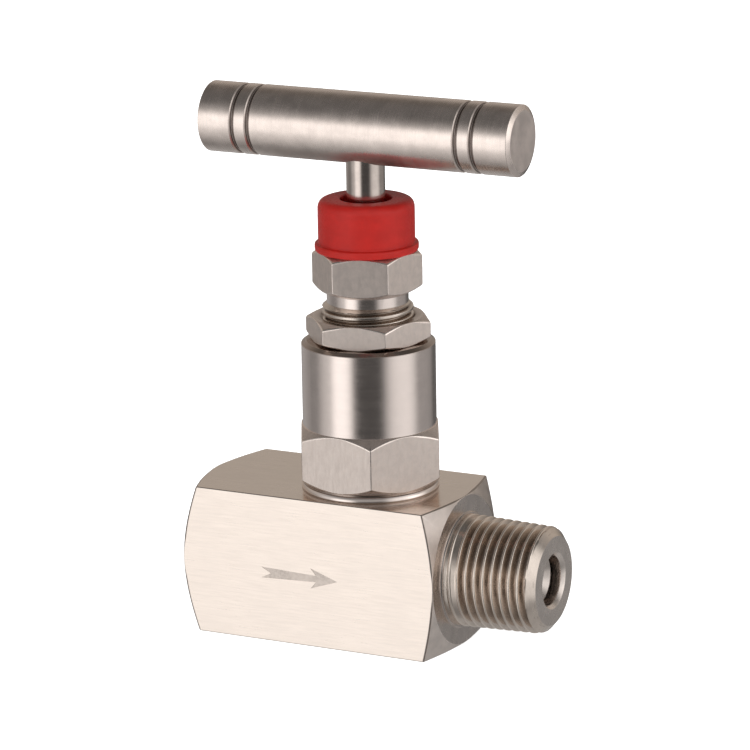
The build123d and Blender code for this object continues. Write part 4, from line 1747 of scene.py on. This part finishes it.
@dataclass
class InnerWorks:
    """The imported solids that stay: seals, packing, needle tip and screw, with their finishes."""

    finishes: Finishes

    def plan(self) -> dict[str, bpy.types.Material]:
        """Says which finish each solid takes.

        Returns:
            The material of each node, by the node's name.
        """
        packing, inner, hard = self.finishes.packing, self.finishes.inner, self.finishes.hard
        plan = {f"packing_v_ring_{k}": packing for k in range(1, 5)}
        return plan | {
            "packing_base_adapter": packing,
            "packing_top_adapter": packing,
            "bonnet_seal": self.finishes.seal,
            "packing_washer": inner,
            "gland_follower": inner,
            "needle_tip": hard,
            "tip_pins": hard,
            "thrust_ball": hard,
            "handle_set_screw": self.finishes.black,
        }

    def build(self) -> None:
        """Gives each solid its finish."""
        for name, material in self.plan().items():
            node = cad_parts[name]
            node.data.materials.clear()
            node.data.materials.append(material)
            LOG.info("%s keeps its solid and takes %s", name, material.name)


# ---------------------------------------------------------------- studio


@dataclass(frozen=True)
class Card:
    """A soft light or dark card, by where it stands round the object; angles are in degrees."""

    azimuth: float
    half_width: float
    softness: float
    low: float
    high: float
    fall: float
    light: float


class Sky(NodeGraph):
    """The node graph of the room light, by direction."""

    def __init__(self) -> None:
        """Starts the graph with the direction's parts."""
        world = bpy.data.worlds.new("studio_room")
        world.use_nodes = True
        bpy.context.scene.world = world
        super().__init__(world.node_tree)
        direction = self.node("ShaderNodeTexCoord").outputs["Generated"]
        self.x, self.y, self.height = self.node("ShaderNodeSeparateXYZ", Vector=direction).outputs
        squares = self.sum("ADD", self.sum("MULTIPLY", self.x, self.x), self.sum("MULTIPLY", self.y, self.y))
        self.level = self.sum("MAXIMUM", self.sum("SQRT", squares, 0.0), LEAST_LEVEL)

    def facing(self, azimuth: float) -> bpy.types.NodeSocket:
        """Compares a direction with an azimuth, both taken level.

        Args:
            azimuth: the azimuth, in degrees.

        Returns:
            The cosine of the angle between them.
        """
        a = math.radians(azimuth)
        east = self.sum("MULTIPLY", self.x, math.sin(a))
        south = self.sum("MULTIPLY", self.y, -math.cos(a))
        return self.sum("DIVIDE", self.sum("ADD", east, south), self.level)

    def window(self, card: Card) -> bpy.types.NodeSocket:
        """Gives how much of a card a direction meets.

        Args:
            card: the card.

        Returns:
            A value from 0 to 1.
        """
        outer = math.cos(math.radians(card.half_width + card.softness))
        inner = math.cos(math.radians(max(0.0, card.half_width - card.softness)))
        wide = self.ramp(self.facing(card.azimuth), outer, inner, 0.0, 1.0)
        low = [math.sin(math.radians(card.low + s * card.fall)) for s in (-1, 1)]
        high = [math.sin(math.radians(card.high + s * card.fall)) for s in (-1, 1)]
        rise = self.ramp(self.height, low[0], low[1], 0.0, 1.0)
        drop = self.ramp(self.height, high[0], high[1], 1.0, 0.0)
        return self.sum("MULTIPLY", wide, self.sum("MULTIPLY", rise, drop))

    def finish(self, light: bpy.types.NodeSocket, warm: bpy.types.NodeSocket,
               warmth: tuple[float, float, float]) -> None:
        """Ends the graph; the camera itself sees plain white.

        Args:
            light: the room's light by direction.
            warm: how much of the warm side a direction meets, from 0 to 1.
            warmth: what the warm side does to each colour.
        """
        seen = self.node("ShaderNodeLightPath").outputs["Is Camera Ray"]
        rest = self.sum("SUBTRACT", 1.0, seen)
        colour = self.node("ShaderNodeCombineColor")
        for socket, part in zip(colour.inputs, warmth):
            tinted = self.sum("ADD", self.sum("MULTIPLY", warm, part - 1.0), 1.0)
            shown = self.sum("MULTIPLY", self.sum("MULTIPLY", light, tinted), rest)
            self.tree.links.new(self.sum("ADD", shown, seen), socket)
        background = self.node("ShaderNodeBackground", Color=colour.outputs["Color"])
        self.node("ShaderNodeOutputWorld", Surface=background.outputs["Background"])


@dataclass
class Studio:
    """The floor, the soft light and the camera.

    The room is its light below, level and above; horizon and zenith are where it changes, as heights
    of the direction. The camera stands at azimuth and elevation, distance mm from the aim, which is a
    step across, a step up and a height above the floor. The focal length and the picture's width
    are in pixels, the floor's half width and the clip distances in metres.
    """

    cards: tuple[Card, ...] = (
        Card(-22.0, 12.0, 12.0, -24.0, 17.0, 11.0, 0.62),
        Card(-33.0, 22.0, 22.0, -44.0, 18.0, 16.0, 0.34),
        Card(-38.0, 38.0, 20.0, -62.0, -24.0, 14.0, 0.19),
        Card(-138.0, 30.0, 20.0, -40.0, -2.0, 8.0, 0.12),
        Card(85.0, 19.0, 18.0, -26.0, 40.0, 11.0, 0.54),
        Card(160.0, 75.0, 25.0, -86.0, -31.0, 7.0, 0.13),
        Card(118.0, 30.0, 25.0, -30.0, 24.0, 12.0, 0.08),
        Card(109.0, 15.0, 10.0, -5.0, 18.0, 4.0, 0.56),
    )
    shades: tuple[Card, ...] = (
        Card(25.0, 22.0, 8.0, -40.0, 12.0, 14.0, 0.68),
        Card(186.0, 20.0, 10.0, -26.0, -5.0, 6.0, 0.55),
    )
    room: tuple[float, float, float] = (0.22, 0.42, 0.12)
    horizon: tuple[float, float] = (-0.15, 0.25)
    zenith: tuple[float, float] = (0.32, 0.80)
    warm_side: Card = Card(-153.0, 62.0, 40.0, -8.0, 60.0, 10.0, 1.0)
    warmth: tuple[float, float, float] = (1.02, 0.93, 0.84)
    floor_half: float = 4.0
    floor_cloud: tuple[float, float, float] = (400.0, 400.0, 400.0)
    floor_band: tuple[float, float] = (0.3, 0.7)
    floor_dark: tuple[float, float, float] = (0.86, 0.86, 0.855)
    floor_light: tuple[float, float, float] = (0.88, 0.88, 0.875)
    floor_rough: float = 0.9
    floor_glow: float = 0.85
    lamp_energy: float = 3.7
    lamp_width: float = 130.0
    lamp_turn: tuple[float, float, float] = (73.0, 0.0, 30.0)
    azimuth: float = 26.502
    elevation: float = 14.947
    roll: float = -0.960
    distance: float = 825.838
    focal: float = 4194.847
    aim: tuple[float, float, float] = (1.144, 2.378, 50.0)
    picture: int = 750
    sensor: float = 36.0
    clip: tuple[float, float] = (0.01, 20.0)

    def sky(self) -> None:
        """Lays out the soft room light that the steel mirrors."""
        graph = Sky()
        below, level, above = self.room
        rise = graph.ramp(graph.height, *self.horizon, below, level)
        fade = graph.ramp(graph.height, *self.zenith, 1.0, above / level)
        total = graph.sum("MULTIPLY", rise, fade)
        for card in self.cards:
            total = graph.sum("ADD", total, graph.sum("MULTIPLY", graph.window(card), card.light))
        for card in self.shades:
            shade = graph.sum("MULTIPLY", graph.window(card), -card.light)
            total = graph.sum("MULTIPLY", total, graph.sum("ADD", shade, 1.0))
        graph.finish(total, graph.window(self.warm_side), self.warmth)

    def floor(self) -> None:
        """Builds the pale floor, which carries no reflection into the steel."""
        half = self.floor_half
        mesh = bpy.data.meshes.new("studio_floor")
        mesh.from_pydata([(-half, -half, 0), (half, -half, 0), (half, half, 0), (-half, half, 0)],
                         [], [(0, 1, 2, 3)])
        floor = mesh_object("studio_floor", mesh)
        bench = Bench("floor_paper")
        share = bench.ramp(bench.noise(self.floor_cloud, detail=2.0), *self.floor_band, 0.0, 1.0)
        colour = bench.mix(share, self.floor_dark, self.floor_light)
        mesh.materials.append(bench.finish(
            Base_Color=colour, Roughness=self.floor_rough, Specular_IOR_Level=0.0,
            Emission_Color=(1.0, 1.0, 1.0, 1.0), Emission_Strength=self.floor_glow))
        floor.visible_glossy = False

    def lamp(self) -> None:
        """Hangs the wide overhead light that evens out the floor."""
        data = bpy.data.lights.new("overhead_light", "SUN")
        data.energy = self.lamp_energy
        data.angle = math.radians(self.lamp_width)
        lamp = bpy.data.objects.new("overhead_light", data)
        lamp.rotation_euler = [math.radians(part) for part in self.lamp_turn]
        lamp.visible_glossy = False
        bpy.context.scene.collection.objects.link(lamp)

    def camera(self) -> None:
        """Stands the camera so that the part fills the picture, a little turned and from above."""
        azimuth, elevation, roll = (
            math.radians(angle) for angle in (self.azimuth, self.elevation, self.roll)
        )
        back = Vector((math.sin(azimuth) * math.cos(elevation),
                       -math.cos(azimuth) * math.cos(elevation), math.sin(elevation)))
        level = Vector((math.cos(azimuth), math.sin(azimuth), 0.0))
        up = back.cross(level)
        across = level * math.cos(roll) + up * math.sin(roll)
        rise = up * math.cos(roll) - level * math.sin(roll)
        side, lift, height = self.aim
        place = Vector((0.0, 0.0, height)) + back * self.distance + across * side + rise * lift
        data = bpy.data.cameras.new("camera")
        data.sensor_width = self.sensor
        data.lens = self.focal * data.sensor_width / self.picture
        data.clip_start, data.clip_end = self.clip
        camera = bpy.data.objects.new("camera", data)
        turn = Matrix((across, rise, back)).transposed().to_4x4()
        camera.matrix_world = Matrix.Translation(place * MM) @ turn
        bpy.context.scene.collection.objects.link(camera)
        bpy.context.scene.camera = camera

    def build(self) -> None:
        """Sets up the whole studio."""
        self.sky()
        self.floor()
        self.lamp()
        self.camera()
        settings = bpy.context.scene.view_settings
        settings.view_transform = "Standard"
        LOG.info("studio: floor, overhead light, %d soft cards, camera", len(self.cards))


def main() -> None:
    """Builds every sub-assembly in order, then the studio."""
    logging.basicConfig(level=logging.INFO, format="%(name)s: %(message)s")
    finishes = Finishes()
    for part in (ValveBar, Bonnet, PackingAdjuster, LockNut, DustCap, Stem, HandleBar, InnerWorks):
        part(finishes).build()
    Studio().build()


if __name__ == "__main__":
    main()
